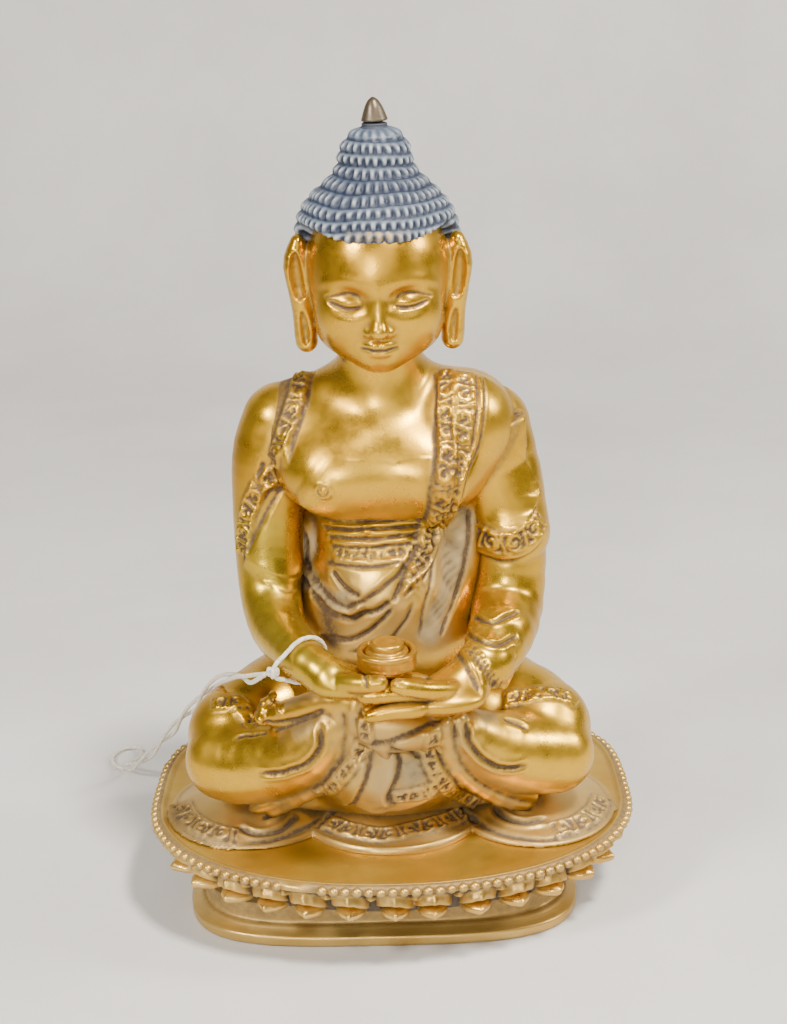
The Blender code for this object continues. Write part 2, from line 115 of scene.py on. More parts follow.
def seen(x, z, y, *rest):
    """The point at depth y that the viewer sees where (x, z) of the reference plane is."""
    start = np.array([x, ROUTE_PLANE, z], float)
    point = VIEWPOINT + (start - VIEWPOINT) * (y - VIEWPOINT[1]) / (ROUTE_PLANE - VIEWPOINT[1])
    return tuple(point) + rest


def unit(vectors):
    return vectors / np.maximum(np.linalg.norm(vectors, axis=-1, keepdims=True), 1e-9)


def twisted_strands(route, count):
    middle = smooth_path(route, count)
    along = unit(np.gradient(middle, axis=0))
    side = unit(np.cross(along, (0, 0, 1)))
    up = np.cross(side, along)
    angle = STRAND_TWIST * np.pi * np.linspace(0, 1, count)[:, None]
    offset = (side * np.cos(angle) + up * np.sin(angle)) * STRAND_OFFSET
    return middle + offset, middle - offset


def yarn_mesh(name, line, diameter, closed=False):
    """A tube along the line whose surface is the lay of three twisted plies."""
    sides, plies, pitch = 18, 3, 2.2 * diameter
    steps = max(int(path_length(line) / 0.14), 24)
    points = smooth_path(line, steps) if not closed else smooth_path(np.vstack([line, line[:1]]), steps)
    along = unit(np.gradient(points, axis=0))
    side = unit(np.cross(along, (0.13, 0.05, 1)))
    up = np.cross(side, along)
    distance = np.r_[0, np.cumsum(np.linalg.norm(np.diff(points, axis=0), axis=1))]
    around = np.linspace(0, 2 * np.pi, sides, endpoint=False)
    lay = around[None, :] - 2 * np.pi * distance[:, None] / (pitch * plies)
    fuzz = np.random.default_rng(5).normal(0, 0.02, lay.shape)
    radius = diameter / 2 * (0.82 + 0.18 * np.abs(np.cos(plies * lay / 2)) + fuzz)
    ring = side[:, None] * np.cos(around)[None, :, None] + up[:, None] * np.sin(around)[None, :, None]
    verts = (points[:, None] + ring * radius[..., None]).reshape(-1, 3)
    faces = strip_faces(steps, sides)
    caps = [] if closed else [list(range(sides))[::-1], list(range((steps - 1) * sides, steps * sides))]
    return piece_from(name, verts, faces, extra=caps)


def strip_faces(rows, columns):
    """Quads between the rows of a grid whose columns close on themselves."""
    i = np.arange(rows - 1)[:, None]
    j = np.arange(columns)[None, :]
    down, right = i + 1, (j + 1) % columns
    corners = (i * columns + j, i * columns + right, down * columns + right, down * columns + j)
    return np.stack(np.broadcast_arrays(*corners), axis=-1).reshape(-1, 4)


def piece_from(name, verts_mm, faces, extra=(), attributes=None):
    """Makes a mesh object from points in millimetres in the part's frame."""
    mesh = bpy.data.meshes.new(name)
    polygons = [list(map(int, face)) for face in extra]
    count = len(verts_mm)
    mesh.vertices.add(count)
    mesh.vertices.foreach_set("co", (np.asarray(verts_mm) * MM).astype(np.float32).ravel())
    loops = np.concatenate([np.asarray(faces, np.int64).ravel()] + [np.array(p) for p in polygons])
    sizes = np.r_[np.full(len(faces), np.shape(faces)[1]), [len(p) for p in polygons]].astype(np.int32)
    mesh.loops.add(len(loops))
    mesh.loops.foreach_set("vertex_index", loops.astype(np.int32))
    mesh.polygons.add(len(sizes))
    starts = np.r_[0, np.cumsum(sizes)[:-1]].astype(np.int32)
    mesh.polygons.foreach_set("loop_start", starts)
    mesh.polygons.foreach_set("use_smooth", np.full(len(sizes), True))
    mesh.update(calc_edges=True)
    for key, values in (attributes or {}).items():
        layer = mesh.attributes.new(key, "FLOAT", "POINT")
        layer.data.foreach_set("value", np.asarray(values, np.float32))
    obj = bpy.data.objects.new(name, mesh)
    bpy.context.scene.collection.objects.link(obj)
    return obj


# ---------------------------------------------------------------- materials

class Nodes:
    """Short names for building a material's node tree."""

    def __init__(self, name):
        self.material = bpy.data.materials.new(name)
        self.material.use_nodes = True
        self.tree = self.material.node_tree
        self.shader = self.tree.nodes["Principled BSDF"]
        self.coords = self.tree.nodes.new("ShaderNodeTexCoord").outputs["Object"]

    def put(self, value, socket):
        if isinstance(value, bpy.types.NodeSocket):
            self.tree.links.new(value, socket)
        else:
            socket.default_value = value

    def noise(self, scale, detail=4.0, roughness=0.6):
        node = self.tree.nodes.new("ShaderNodeTexNoise")
        self.put(self.coords, node.inputs["Vector"])
        for key, value in (("Scale", scale), ("Detail", detail), ("Roughness", roughness)):
            node.inputs[key].default_value = value
        return node.outputs["Fac"]

    def attribute(self, name):
        node = self.tree.nodes.new("ShaderNodeAttribute")
        node.attribute_name = name
        return node.outputs["Fac"]

    def math(self, operation, a, b=0.0, clamp=False):
        node = self.tree.nodes.new("ShaderNodeMath")
        node.operation = operation
        node.use_clamp = clamp
        self.put(a, node.inputs[0])
        self.put(b, node.inputs[1])
        return node.outputs[0]

    def ramp(self, value, low, high, out_low=0.0, out_high=1.0):
        node = self.tree.nodes.new("ShaderNodeMapRange")
        node.interpolation_type = "SMOOTHSTEP"
        self.put(value, node.inputs["Value"])
        for key, number in (("From Min", low), ("From Max", high), ("To Min", out_low), ("To Max", out_high)):
            node.inputs[key].default_value = number
        return node.outputs["Result"]

    def mix(self, factor, a, b):
        node = self.tree.nodes.new("ShaderNodeMix")
        node.data_type = "RGBA"
        self.put(factor, node.inputs["Factor"])
        self.put(a, node.inputs["A"])
        self.put(b, node.inputs["B"])
        return node.outputs["Result"]

    def bump(self, height, strength, distance):
        node = self.tree.nodes.new("ShaderNodeBump")
        node.inputs["Strength"].default_value = strength
        node.inputs["Distance"].default_value = distance
        self.put(height, node.inputs["Height"])
        return node.outputs["Normal"]


def rgb(red, green, blue):
    return (red, green, blue, 1.0)


def brass_material(name, polished, warm, shade_and_dirt, shine, shade_and_dirt_gain=1.0, dull=0.0, metal=0.9):
    """Hand-polished cast brass, darkened where the recess attribute marks a recess: partly residue, partly
    painted shade.
    """
    n = Nodes(name)
    patches = n.ramp(n.noise(28.0, 3.0), 0.38, 0.66)
    polished, warm, shade_and_dirt = (rgb(*colour) for colour in (polished, warm, shade_and_dirt))
    colour = n.mix(patches, polished, warm)
    mottle = n.ramp(n.noise(330.0, 6.0, 0.65), 0.30, 0.80)
    colour = n.mix(n.math("MULTIPLY", mottle, 0.25), colour, n.mix(0.25, warm, shade_and_dirt))
    colour = n.mix(n.math("MULTIPLY", n.attribute("green"), 0.6), colour, rgb(0.47, 0.36, 0.03))
    worn = n.math("MULTIPLY", n.attribute("aged"), n.ramp(n.noise(190.0, 5.0, 0.7), 0.2, 0.7, 0.5, 1.0),
            clamp=True)
    colour = n.mix(worn, colour, rgb(0.44, 0.305, 0.12))
    residue = n.math("MULTIPLY", n.attribute("residue"), n.ramp(n.noise(420.0, 6.0, 0.7), 0.25, 0.7, 0.6,
            1.15), clamp=True)
    colour = n.mix(residue, colour, rgb(0.34, 0.262, 0.13))
    specks = n.ramp(n.noise(1100.0, 2.0, 0.5), 0.76, 0.80)
    # Recess darkening towards the recess colour: painted shade in hollows, creases and contact lines, with
    # some residue; the specks are soiling.
    cavity = n.math("MULTIPLY", n.attribute("grime_and_shade"), shade_and_dirt_gain)
    breakup = n.ramp(n.noise(650.0, 6.0, 0.75), 0.25, 0.7, 0.55, 1.25)
    grime_and_shade = n.math("MULTIPLY", cavity, breakup)
    grime_and_shade = n.math("ADD", grime_and_shade, n.math("MULTIPLY", specks, 0.25))
    grime_and_shade = n.math("ADD", grime_and_shade, dull, clamp=True)
    colour = n.mix(grime_and_shade, colour, shade_and_dirt)
    n.put(colour, n.shader.inputs["Base Color"])
    wear = n.ramp(n.noise(160.0, 4.0), 0.3, 0.7, shine - 0.05, shine + 0.09)
    matt = n.math("ADD", n.math("MULTIPLY", grime_and_shade, 0.34), n.math("MULTIPLY", worn, 0.20))
    matt = n.math("ADD", matt, n.math("MULTIPLY", residue, 0.35))
    n.put(n.math("ADD", wear, matt, clamp=True), n.shader.inputs["Roughness"])
    n.put(n.math("SUBTRACT", metal, matt, clamp=True), n.shader.inputs["Metallic"])
    fine = n.math("ADD", n.noise(1400.0, 4.0, 0.7), n.math("MULTIPLY", n.noise(260.0, 3.0), 1.2))
    n.put(n.bump(fine, 0.13, 0.00018), n.shader.inputs["Normal"])
    return n.material


def hair_material():
    n = Nodes("painted_curls")
    base = n.mix(n.ramp(n.noise(240.0, 4.0), 0.35, 0.7), rgb(0.034, 0.055, 0.090), rgb(0.070, 0.098, 0.140))
    rubbed = n.math("MULTIPLY", n.attribute("ridge"), n.ramp(n.noise(500.0, 5.0, 0.7), 0.25, 0.75, 0.35, 1.3))
    colour = n.mix(n.math("MULTIPLY", rubbed, 1.0, clamp=True), base, rgb(0.36, 0.39, 0.41))
    # Painted shade in the curl pits: deep navy where the recess mark is high.
    colour = n.mix(n.math("MULTIPLY", n.attribute("grime_and_shade"), 1.0, clamp=True), colour,
            rgb(0.008, 0.014, 0.035))
    bare = n.math("MULTIPLY", n.attribute("bare"), n.ramp(n.noise(700.0, 4.0), 0.4, 0.6, 0.5, 1.4),
            clamp=True)
    colour = n.mix(bare, colour, rgb(0.40, 0.29, 0.14))
    n.put(colour, n.shader.inputs["Base Color"])
    n.put(n.ramp(n.noise(300.0), 0.3, 0.7, 0.5, 0.68), n.shader.inputs["Roughness"])
    n.put(n.math("MULTIPLY", bare, 0.8), n.shader.inputs["Metallic"])
    n.put(n.bump(n.noise(1800.0, 4.0, 0.7), 0.35, 0.00015), n.shader.inputs["Normal"])
    return n.material


def cotton_material():
    n = Nodes("cotton_string")
    colour = n.mix(n.ramp(n.noise(1500.0, 5.0, 0.7), 0.3, 0.7), rgb(0.50, 0.44, 0.33), rgb(0.76, 0.71, 0.60))
    n.put(colour, n.shader.inputs["Base Color"])
    n.shader.inputs["Roughness"].default_value = 0.95
    n.shader.inputs["Sheen Weight"].default_value = 0.35
    n.put(n.bump(n.noise(6000.0, 3.0, 0.7), 0.5, 0.0001), n.shader.inputs["Normal"])
    return n.material


# ---------------------------------------------------------------- sculpting

def smooth_min(a, b, k):
    h = np.maximum(k - np.abs(a - b), 0.0) / k
    return np.minimum(a, b) - h * h * k * 0.25


def smooth_max(a, b, k):
    return -smooth_min(-a, -b, k)


def ball(p, centre, radii, turn=None):
    """Distance to an ellipsoid, which may be turned by (axis letter, degrees)."""
    q = p - np.asarray(centre, np.float32)
    if turn:
        q = q @ np.array(Matrix.Rotation(math.radians(turn[1]), 3, turn[0]), np.float32)
    r = np.asarray(radii, np.float32)
    k0 = np.sqrt(((q / r) ** 2).sum(1))
    k1 = np.sqrt(((q / (r * r)) ** 2).sum(1))
    return k0 * (k0 - 1.0) / np.maximum(k1, 1e-6)


def rod(p, start, end, start_radius, end_radius):
    a, b = np.asarray(start, np.float32), np.asarray(end, np.float32)
    along = b - a
    q = p - a
    h = np.clip(q @ along / max(float(along @ along), 1e-9), 0.0, 1.0)
    offset = q - h[:, None] * along
    return np.sqrt((offset ** 2).sum(1)) - (start_radius + (end_radius - start_radius) * h)


def limb(p, stations, steps=3, k=1.0):
    """A smooth tapered limb through ((x, y, z, radius), ...)."""
    points = smooth_path(np.array(stations, float), (len(stations) - 1) * steps + 1)
    result = None
    for first, second in zip(points, points[1:]):
        part = rod(p, first[:3], second[:3], first[3], second[3])
        result = part if result is None else smooth_min(result, part, k)
    return result


def blend_all(parts):
    """Joins (distance, blend radius) pairs one after the other."""
    result = None
    for distance, k in parts:
        result = distance if result is None else smooth_min(result, distance, k)
    return result


def mirror_x(p):
    return p * np.array([-1, 1, 1], np.float32)


def surface_of(field, low, high, step):
    """Points and quads of the surface where the field is zero, by surface nets near the surface."""
    block = 4
    counts = np.ceil((np.array(high) - low) / (step * block)).astype(int) + 1
    axes = [low[i] + step * np.arange(counts[i] * block, dtype=np.float32) for i in range(3)]
    centres = np.meshgrid(*[a.reshape(-1, block).mean(1) for a in axes], indexing="ij")
    coarse = field(np.stack([c.ravel() for c in centres], axis=1)).reshape(counts)
    values = coarse.repeat(block, 0).repeat(block, 1).repeat(block, 2).astype(np.float32)
    near = np.argwhere(np.abs(coarse) < step * block * 1.35)
    cell = np.stack(np.meshgrid(*[np.arange(block)] * 3, indexing="ij"), axis=-1).reshape(1, -1, 3)
    at = (near[:, None] * block + cell).reshape(-1, 3)
    for part in np.array_split(at, max(len(at) // 400000, 1)):
        points = np.stack([axes[i][part[:, i]] for i in range(3)], axis=1)
        values[part[:, 0], part[:, 1], part[:, 2]] = field(points)
    inside = (values < 0).astype(np.int8)
    corners = [(i, j, k) for i in (0, 1) for j in (0, 1) for k in (0, 1)]
    shape = np.array(values.shape) - 1
    total = sum(inside[i:i + shape[0], j:j + shape[1], k:k + shape[2]] for i, j, k in corners)
    cells = np.argwhere((total > 0) & (total < 8))
    number = np.full(shape, -1, np.int64)
    number[tuple(cells.T)] = np.arange(len(cells))
    sums, hits = np.zeros((len(cells), 3)), np.zeros(len(cells))
    for first in corners:
        for axis in range(3):
            if first[axis]:
                continue
            second = tuple(first[i] + (i == axis) for i in range(3))
            a = values[tuple((cells + first).T)]
            b = values[tuple((cells + second).T)]
            cross = (a < 0) != (b < 0)
            share = np.where(cross, a / np.where(cross, a - b, 1.0), 0.0)
            point = np.array(first, float) + share[:, None] * np.eye(3)[axis]
            sums += point * cross[:, None]
            hits += cross
    verts = np.array(low) + step * (cells + sums / hits[:, None])
    quads = []
    for axis in range(3):
        u, v = [i for i in range(3) if i != axis]
        a = inside[:shape[0], :shape[1], :shape[2]]
        moved = [slice(0, s) for s in shape]
        moved[axis] = slice(1, shape[axis] + 1)
        edges = np.argwhere(a != inside[tuple(moved)])
        edges = edges[(edges[:, u] > 0) & (edges[:, v] > 0)]
        du, dv = np.eye(3, dtype=int)[u], np.eye(3, dtype=int)[v]
        ring = [number[tuple((edges - s).T)] for s in (0 * du, du, du + dv, dv)]
        quad = np.stack(ring, axis=1)
        outward = inside[tuple(edges.T)].astype(bool)
        flip = outward if axis != 1 else ~outward
        quad[flip] = quad[flip][:, ::-1]
        quads.append(quad[:, ::-1])
    return verts, np.concatenate(quads)


class Sculpt:
    """A dense surface in the figure's frame, with relief heights and recess marks on its points; the recess
    darkening is painted shade with some residue.
    """

    def __init__(self, field, low, high, step, gain=1.5):
        self.field = field
        self.verts, self.quads = surface_of(field, np.array(low, float), high, step)
        self.normals = self.gradient(self.verts)
        self.height = np.zeros(len(self.verts))
        self.gain = gain
        self.marks = {"grime_and_shade": np.zeros(len(self.verts))}

    def gradient(self, points):
        step = 0.25
        sides = [self.field((points + step * axis).astype(np.float32))
                 - self.field((points - step * axis).astype(np.float32)) for axis in np.eye(3)]
        return unit(np.stack(sides, axis=1).astype(float))

    def drape(self, route):
        """Moves route points (x, z) along the viewer's line of sight onto the surface."""
        placed = []
        facing = ((self.verts - VIEWPOINT) * self.normals).sum(1) < 0
        candidates = self.verts[facing][::2]
        for point in route:
            start = np.array([point[0], ROUTE_PLANE, point[1]]) if len(point) == 2 else np.array(point)
            if len(point) == 3:
                placed.append(self.verts[((self.verts - start) ** 2).sum(1).argmin()])
                continue
            ray = unit(start - VIEWPOINT)
            offset = candidates - VIEWPOINT
            depth = offset @ ray
            miss = np.linalg.norm(offset - depth[:, None] * ray, axis=1)
            score = depth + 200.0 * np.maximum(miss - 0.9, 0.0)
            placed.append(VIEWPOINT + ray * depth[score.argmin()])
        return np.array(placed)

    def path(self, route):
        """Close-set points of the surface along a route."""
        control = self.drape(route)
        count = max(int(path_length(control) / PATH_SPACING), 6)
        dense = smooth_path(control, count)
        low, high = dense.min(0) - 5.0, dense.max(0) + 5.0
        pool = self.verts[((self.verts > low) & (self.verts < high)).all(1)]
        nearest = []
        for part in np.array_split(dense, max(len(dense) // 20, 1)):
            d2 = ((pool[None] - part[:, None]) ** 2).sum(2)
            nearest.append(pool[d2.argmin(1)])
        snapped = np.vstack(nearest)
        kernel = np.ones(5) / 5
        padded = np.vstack([snapped[:1]] * 2 + [snapped] + [snapped[-1:]] * 2)
        return np.stack([np.convolve(c, kernel, "valid") for c in padded.T], axis=1)

    def along(self, route, reach):
        """Points near a route: indices, distance along it, signed distance across it, and its length."""
        line = self.path(route)
        low, high = line.min(0) - reach, line.max(0) + reach
        chosen = np.nonzero(((self.verts > low) & (self.verts < high)).all(1))[0]
        tangent = unit(np.gradient(line, axis=0))
        lengths = np.r_[0, np.cumsum(np.linalg.norm(np.diff(line, axis=0), axis=1))]
        points = self.verts[chosen]
        best = np.concatenate([
            ((part[:, None] - line[None]) ** 2).sum(2).argmin(1)
            for part in np.array_split(points, max(len(points) // 4000, 1))
        ]) if len(points) else np.zeros(0, int)
        offset = points - line[best]
        t = tangent[best]
        forward = (offset * t).sum(1)
        s = lengths[best] + forward
        sideways = unit(np.cross(t, self.normals[chosen]))
        d = (offset * sideways).sum(1)
        gap = np.linalg.norm(offset - forward[:, None] * t, axis=1)
        keep = (gap < reach) & (s > -reach) & (s < lengths[-1] + reach)
        return chosen[keep], s[keep], d[keep], lengths[-1]

    def stroke(self, route, width, height, taper=2.5, grime_and_shade=0.0, lip=0.0):
        """A ridge (height above 0) or groove (below 0) along a route, fading at its ends."""
        i, s, d, length = self.along(route, 3.0 * width + 1.0)
        ends = np.clip(np.minimum(s, length - s) / taper + 0.15, 0.0, 1.0) if taper else (
            ((s > -0.2) & (s < length + 0.2)) * 1.0)
        profile = np.exp(-(d / width) ** 2)
        self.height[i] += self.gain * height * profile * ends
        if lip:
            self.height[i] += self.gain * lip * np.exp(-((np.abs(d) - 1.9 * width) / width) ** 2) * ends
        # darkens the groove: painted shade with some residue
        self.marks["grime_and_shade"][i] += grime_and_shade * np.exp(-(d / (1.3 * width)) ** 2) * ends

    def edge(self, route, height, side=1, softness=0.35, falloff=9.0, grime_and_shade=0.5):
        """A cloth edge: the left (1) or right (-1) of the route, as seen, rises and fades back, with painted
        shadow along its foot.
        """
        i, s, d, length = self.along(route, 2.2 * falloff)
        d = -side * d
        ends = np.clip(np.minimum(s, length - s) / 2.5 + 0.2, 0.0, 1.0)
        rise = 0.5 * (1 + np.tanh(d / softness)) * np.exp(-(np.maximum(d, 0) / falloff) ** 2)
        self.height[i] += self.gain * height * rise * ends
        # painted shadow at the foot of the raised edge
        self.marks["grime_and_shade"][i] += grime_and_shade * np.exp(-((d + 0.5) / 0.6) ** 2) * ends

    def band(self, route, half, height=0.55, pitch=6.0, grime_and_shade=0.55, raise_by=0.3):
        """An ornament band between two raised rims, filled with running scrolls."""
        i, s, d, length = self.along(route, half + 2.0)
        ends = np.clip(np.minimum(s, length - s) / 0.8 + 0.5, 0.0, 1.0)
        rims = np.exp(-((np.abs(d) - half) / 0.42) ** 2)
        inside = 1.0 / (1.0 + np.exp((np.abs(d) - half) / 0.18))
        pattern = scrolls(s, d, half, pitch) * inside
        shape = height * rims + raise_by * inside + height * 1.1 * (pattern - 0.5 * inside)
        self.height[i] += self.gain * ends * shape
        # painted shade with some residue in the hollows between the scrolls and rims
        self.marks["grime_and_shade"][i] += ends * 1.5 * grime_and_shade * inside * np.clip(1.1 - 1.5 * pattern - 0.8 * rims,
                0, 1)

    def distance(self, centre):
        return np.linalg.norm(self.verts - self.drape([centre])[0], axis=1)

    def dome(self, centre, radius, height):
        """A small round swelling."""
        self.height += height * np.exp(-(self.distance(centre) / radius) ** 2)

    def ring(self, centre, radius, width, height, grime_and_shade=0.0):
        """A small round ridge or groove."""
        swell = np.exp(-((self.distance(centre) - radius) / width) ** 2)
        self.height += height * swell
        # darkens the groove: painted shade
        self.marks["grime_and_shade"] += grime_and_shade * swell

    def fade(self, route, reach):
        """Points round a route, with weights that fade out over the reach."""
        i, s, d, length = self.along(route, 2.0 * reach)
        inside = np.clip(np.minimum(s, length - s) / reach + 1.0, 0, 1)
        return i, np.exp(-(d / reach) ** 2) * inside

    def layer(self, name):
        return self.marks.setdefault(name, np.zeros(len(self.verts)))

    def mark(self, name, route, reach, value):
        """Marks the surface round a route, without adding to an earlier mark."""
        i, weight = self.fade(route, reach)
        layer = self.layer(name)
        layer[i] = np.maximum(layer[i], value * weight)

    def darken_round(self, route, reach, amount):
        """Darkens the surface round a route, through the recess mark."""
        i, weight = self.fade(route, reach)
        self.marks["grime_and_shade"][i] += amount * weight

    def contact(self, field, reach=1.3, amount=0.75):
        """Painted contact shade, with some residue, along the line where another body meets this one."""
        gap = np.maximum(field(self.verts.astype(np.float32)), 0.0)
        self.marks["grime_and_shade"] += amount * np.exp(-(gap / reach) ** 2)

    def roughen(self, route, reach, height, seed, scale=1.6, grime_and_shade=0.3):
        """Rough, unworked cloth: irregular lumps round a route."""
        i, s, d, length = self.along(route, 1.6 * reach)
        near = np.exp(-(d / reach) ** 4) * np.clip(np.minimum(s, length - s) / 2.0 + 1.0, 0, 1)
        x, y, z = self.verts[i].T
        waves = random_waves(x, y, z, seed, scale, 4)
        self.height[i] += height * near * waves
        # painted shade in the hollows between the lumps
        self.marks["grime_and_shade"][i] += 0.45 * grime_and_shade * near * (1 - waves)
        layer = self.layer("residue")
        layer[i] = np.maximum(layer[i], 0.9 * near)

    def finish(self, name, cavity_gain=1.0):
        """Applies the relief, works out recesses from curvature and darkens them as painted shade with some
        residue, and makes the object.
        """
        verts = self.verts + self.normals * self.height[:, None]
        verts = relaxed(verts, self.quads, 1)
        cavity = curvature(verts, self.quads)
        grime_and_shade = np.clip(self.marks["grime_and_shade"] + cavity_gain * np.clip(cavity, 0, 1), 0, 1)
        marks = {"grime_and_shade": grime_and_shade}
        marks.update({k: v for k, v in self.marks.items() if k != "grime_and_shade"})
        marks["ridge"] = np.clip(-cavity, 0, 1)
        return piece_from(name, verts + FIGURE_SHIFT, self.quads, attributes=marks)


def neighbour_mean(values, quads, count):
    pairs = np.concatenate([quads[:, [0, 1]], quads[:, [1, 2]], quads[:, [2, 3]], quads[:, [3, 0]]])
    pairs = np.concatenate([pairs, pairs[:, ::-1]])
    weight = np.maximum(np.bincount(pairs[:, 0], minlength=count), 1)
    columns = values.T if values.ndim == 2 else values[None]
    sums = [np.bincount(pairs[:, 0], weights=c[pairs[:, 1]], minlength=count) / weight for c in columns]
    return np.stack(sums, axis=1) if values.ndim == 2 else sums[0]


def relaxed(verts, quads, times):
    for _ in range(times):
        verts = 0.5 * verts + 0.5 * neighbour_mean(verts, quads, len(verts))
    return verts


def face_normals(verts, quads):
    return np.cross(verts[quads[:, 2]] - verts[quads[:, 0]], verts[quads[:, 3]] - verts[quads[:, 1]])


def vertex_normals(verts, quads):
    flat = face_normals(verts, quads)
    total = np.zeros_like(verts)
    for corner in range(4):
        for axis in range(3):
            total[:, axis] += np.bincount(quads[:, corner], weights=flat[:, axis], minlength=len(verts))
    return unit(total)


def curvature(verts, quads, gain=9.0):
    """About 1 in a sharp recess, -1 on a sharp ridge, from fine and broad curvature together."""
    normals = vertex_normals(verts, quads)
    fine = ((neighbour_mean(verts, quads, len(verts)) - verts) * normals).sum(1)
    fine = neighbour_mean(fine, quads, len(verts))
    broad_verts = relaxed(verts, quads, 10)
    broad = ((broad_verts - verts) * normals).sum(1)
    return gain * fine + 2.6 * broad


def scrolls(s, d, half, pitch):
    """Running scroll ornament in band coordinates: 1 on the lines, 0 between them."""
    cell = np.floor(s / pitch)
    t = s - (cell + 0.5) * pitch
    flip = np.where(cell % 2 == 0, 1.0, -1.0)
    x, y = t * flip, d * flip
    r = np.hypot(x, y)
    wave = half * 0.82
    turn = np.arctan2(y, x)
    spiral = 0.5 + 0.5 * np.cos(turn - 2 * np.pi * r / (0.95 * half))
    spiral = np.clip(1.6 * spiral - 0.3, 0, 1) * (r < wave)
    link = np.exp(-((np.abs(x) - pitch * 0.5 + 0.25 * y) / 0.42) ** 2) * (r >= wave * 0.9)
    leaf = np.exp(-((r - wave) / 0.40) ** 2) * (np.abs(turn) > 0.9)
    return np.clip(np.maximum(spiral, np.maximum(link, leaf)), 0, 1)


# ---------------------------------------------------------------- pedestal

PLAN_HALF_X, PLAN_HALF_Y = 63.0, 49.5
PLAN_POWER_FRONT, PLAN_POWER_BACK = 2.15, 4.0


def plan_curve(inset, count, deeper=0.0, wider=0.0, front=PLAN_POWER_FRONT):
    """Evenly spaced points round the pedestal's outline, their outward normals, and its length."""
    half_x, half_y = PLAN_HALF_X - inset + wider, PLAN_HALF_Y - inset - deeper
    t = np.linspace(-np.pi / 2, 1.5 * np.pi, 4001)
    power = np.where(np.sin(t) < 0, front, PLAN_POWER_BACK)
    x = half_x * np.sign(np.cos(t)) * np.abs(np.cos(t)) ** (2 / power)
    y = half_y * np.sign(np.sin(t)) * np.abs(np.sin(t)) ** (2 / power)
    lengths = np.r_[0, np.cumsum(np.hypot(np.diff(x), np.diff(y)))]
    at = np.linspace(0, lengths[-1], count, endpoint=False)
    points = np.stack([np.interp(at, lengths, x), np.interp(at, lengths, y)], axis=1)
    along = unit(np.roll(points, -1, 0) - np.roll(points, 1, 0))
    return points, np.stack([along[:, 1], -along[:, 0]], axis=1), lengths[-1]


def lofted(name, profile, count, deeper=0.0, wider=0.0, relief=None, grime_and_shade=None, front=PLAN_POWER_FRONT,
        shift=0.0):
    """A closed ring-shaped body: the profile's (inset, z) rows round the plan, capped at both ends."""
    rows = []
    for inset, z in profile:
        points, normals, _ = plan_curve(inset, count, deeper, wider, front)
        rows.append(np.column_stack([points, np.full(count, z)]))
    rows = np.array(rows)
    rows[..., 0] += shift
    if relief is not None:
        _, normals, _ = plan_curve(8.0, count, deeper, wider, front)
        rows[..., :2] += relief[..., None] * normals[None]
    verts = rows.reshape(-1, 3)
    faces = strip_faces(len(profile), count)
    last = (len(profile) - 1) * count
    caps = [list(range(count))[::-1], list(range(last, last + count))]
    # When no mark is given, painted shade from curvature in the hollows.
    cavity = np.clip(curvature(verts, faces), 0, 1) if grime_and_shade is None else grime_and_shade.ravel()
    return piece_from(name, verts, faces, extra=caps, attributes={"grime_and_shade": cavity})


def dense_profile(profile, spacing=0.3):
    """The profile's straight runs cut into short steps."""
    points = np.array(profile, float)
    rows = [points[:1]]
    for a, b in zip(points, points[1:]):
        steps = max(int(np.linalg.norm(b - a) / spacing), 1)
        rows.append(a + (b - a) * (np.arange(1, steps + 1) / steps)[:, None])
    return np.vstack(rows)


def random_waves(x, y, z, seed, scale, octaves=3):
    """Smooth random undulation of about unit size, from sums of sines."""
    rng = np.random.default_rng(seed)
    total, weight = 0.0, 1.0
    for octave in range(octaves):
        for _ in range(3):
            direction = rng.normal(size=3)
            direction /= np.linalg.norm(direction) * scale / (2.0 ** octave)
            total = total + weight * np.sin(
                x * direction[0] + y * direction[1] + z * direction[2] + rng.uniform(0, 6.28))
        weight *= 0.55
    return total / 3.0


FOOT_COUNT = 900
FOOT_ROUNDNESS = 3.6
FOOT_OFFSET = -2.4


def build_foot():
    profile = dense_profile([(14.6, 0.0), (13.9, 0.25), (13.65, 0.7), (13.6, 2.5), (13.8, 2.85),
            (15.0, 3.5), (15.9, 4.1), (16.3, 4.5), (17.3, 4.7), (17.6, 5.2), (17.6, 9.6),])
    z = profile[:, 1][:, None]
    points, _, _ = plan_curve(13.6, FOOT_COUNT)
    relief = 0.10 * random_waves(points[:, 0][None], points[:, 1][None], 3 * z, 11, 7.0)
    # Painted shade: a line at the ledge, the waist darkened as shadow under the petals' overhang, and the
    # bottom edge where it meets the floor.
    shade = np.clip(0.25 * np.exp(-((z - 4.6) / 0.5) ** 2) + 0.55 / (1 + np.exp(-(z - 5.2) / 0.4))
                    + 0.35 * np.exp(-z / 0.6), 0, 1) + 0 * relief
    return lofted("foot_surface", profile, FOOT_COUNT, 2.6, 0.8, relief, shade, FOOT_ROUNDNESS, FOOT_OFFSET)


PETAL_COUNT = 32
PETAL_SAMPLES = 42


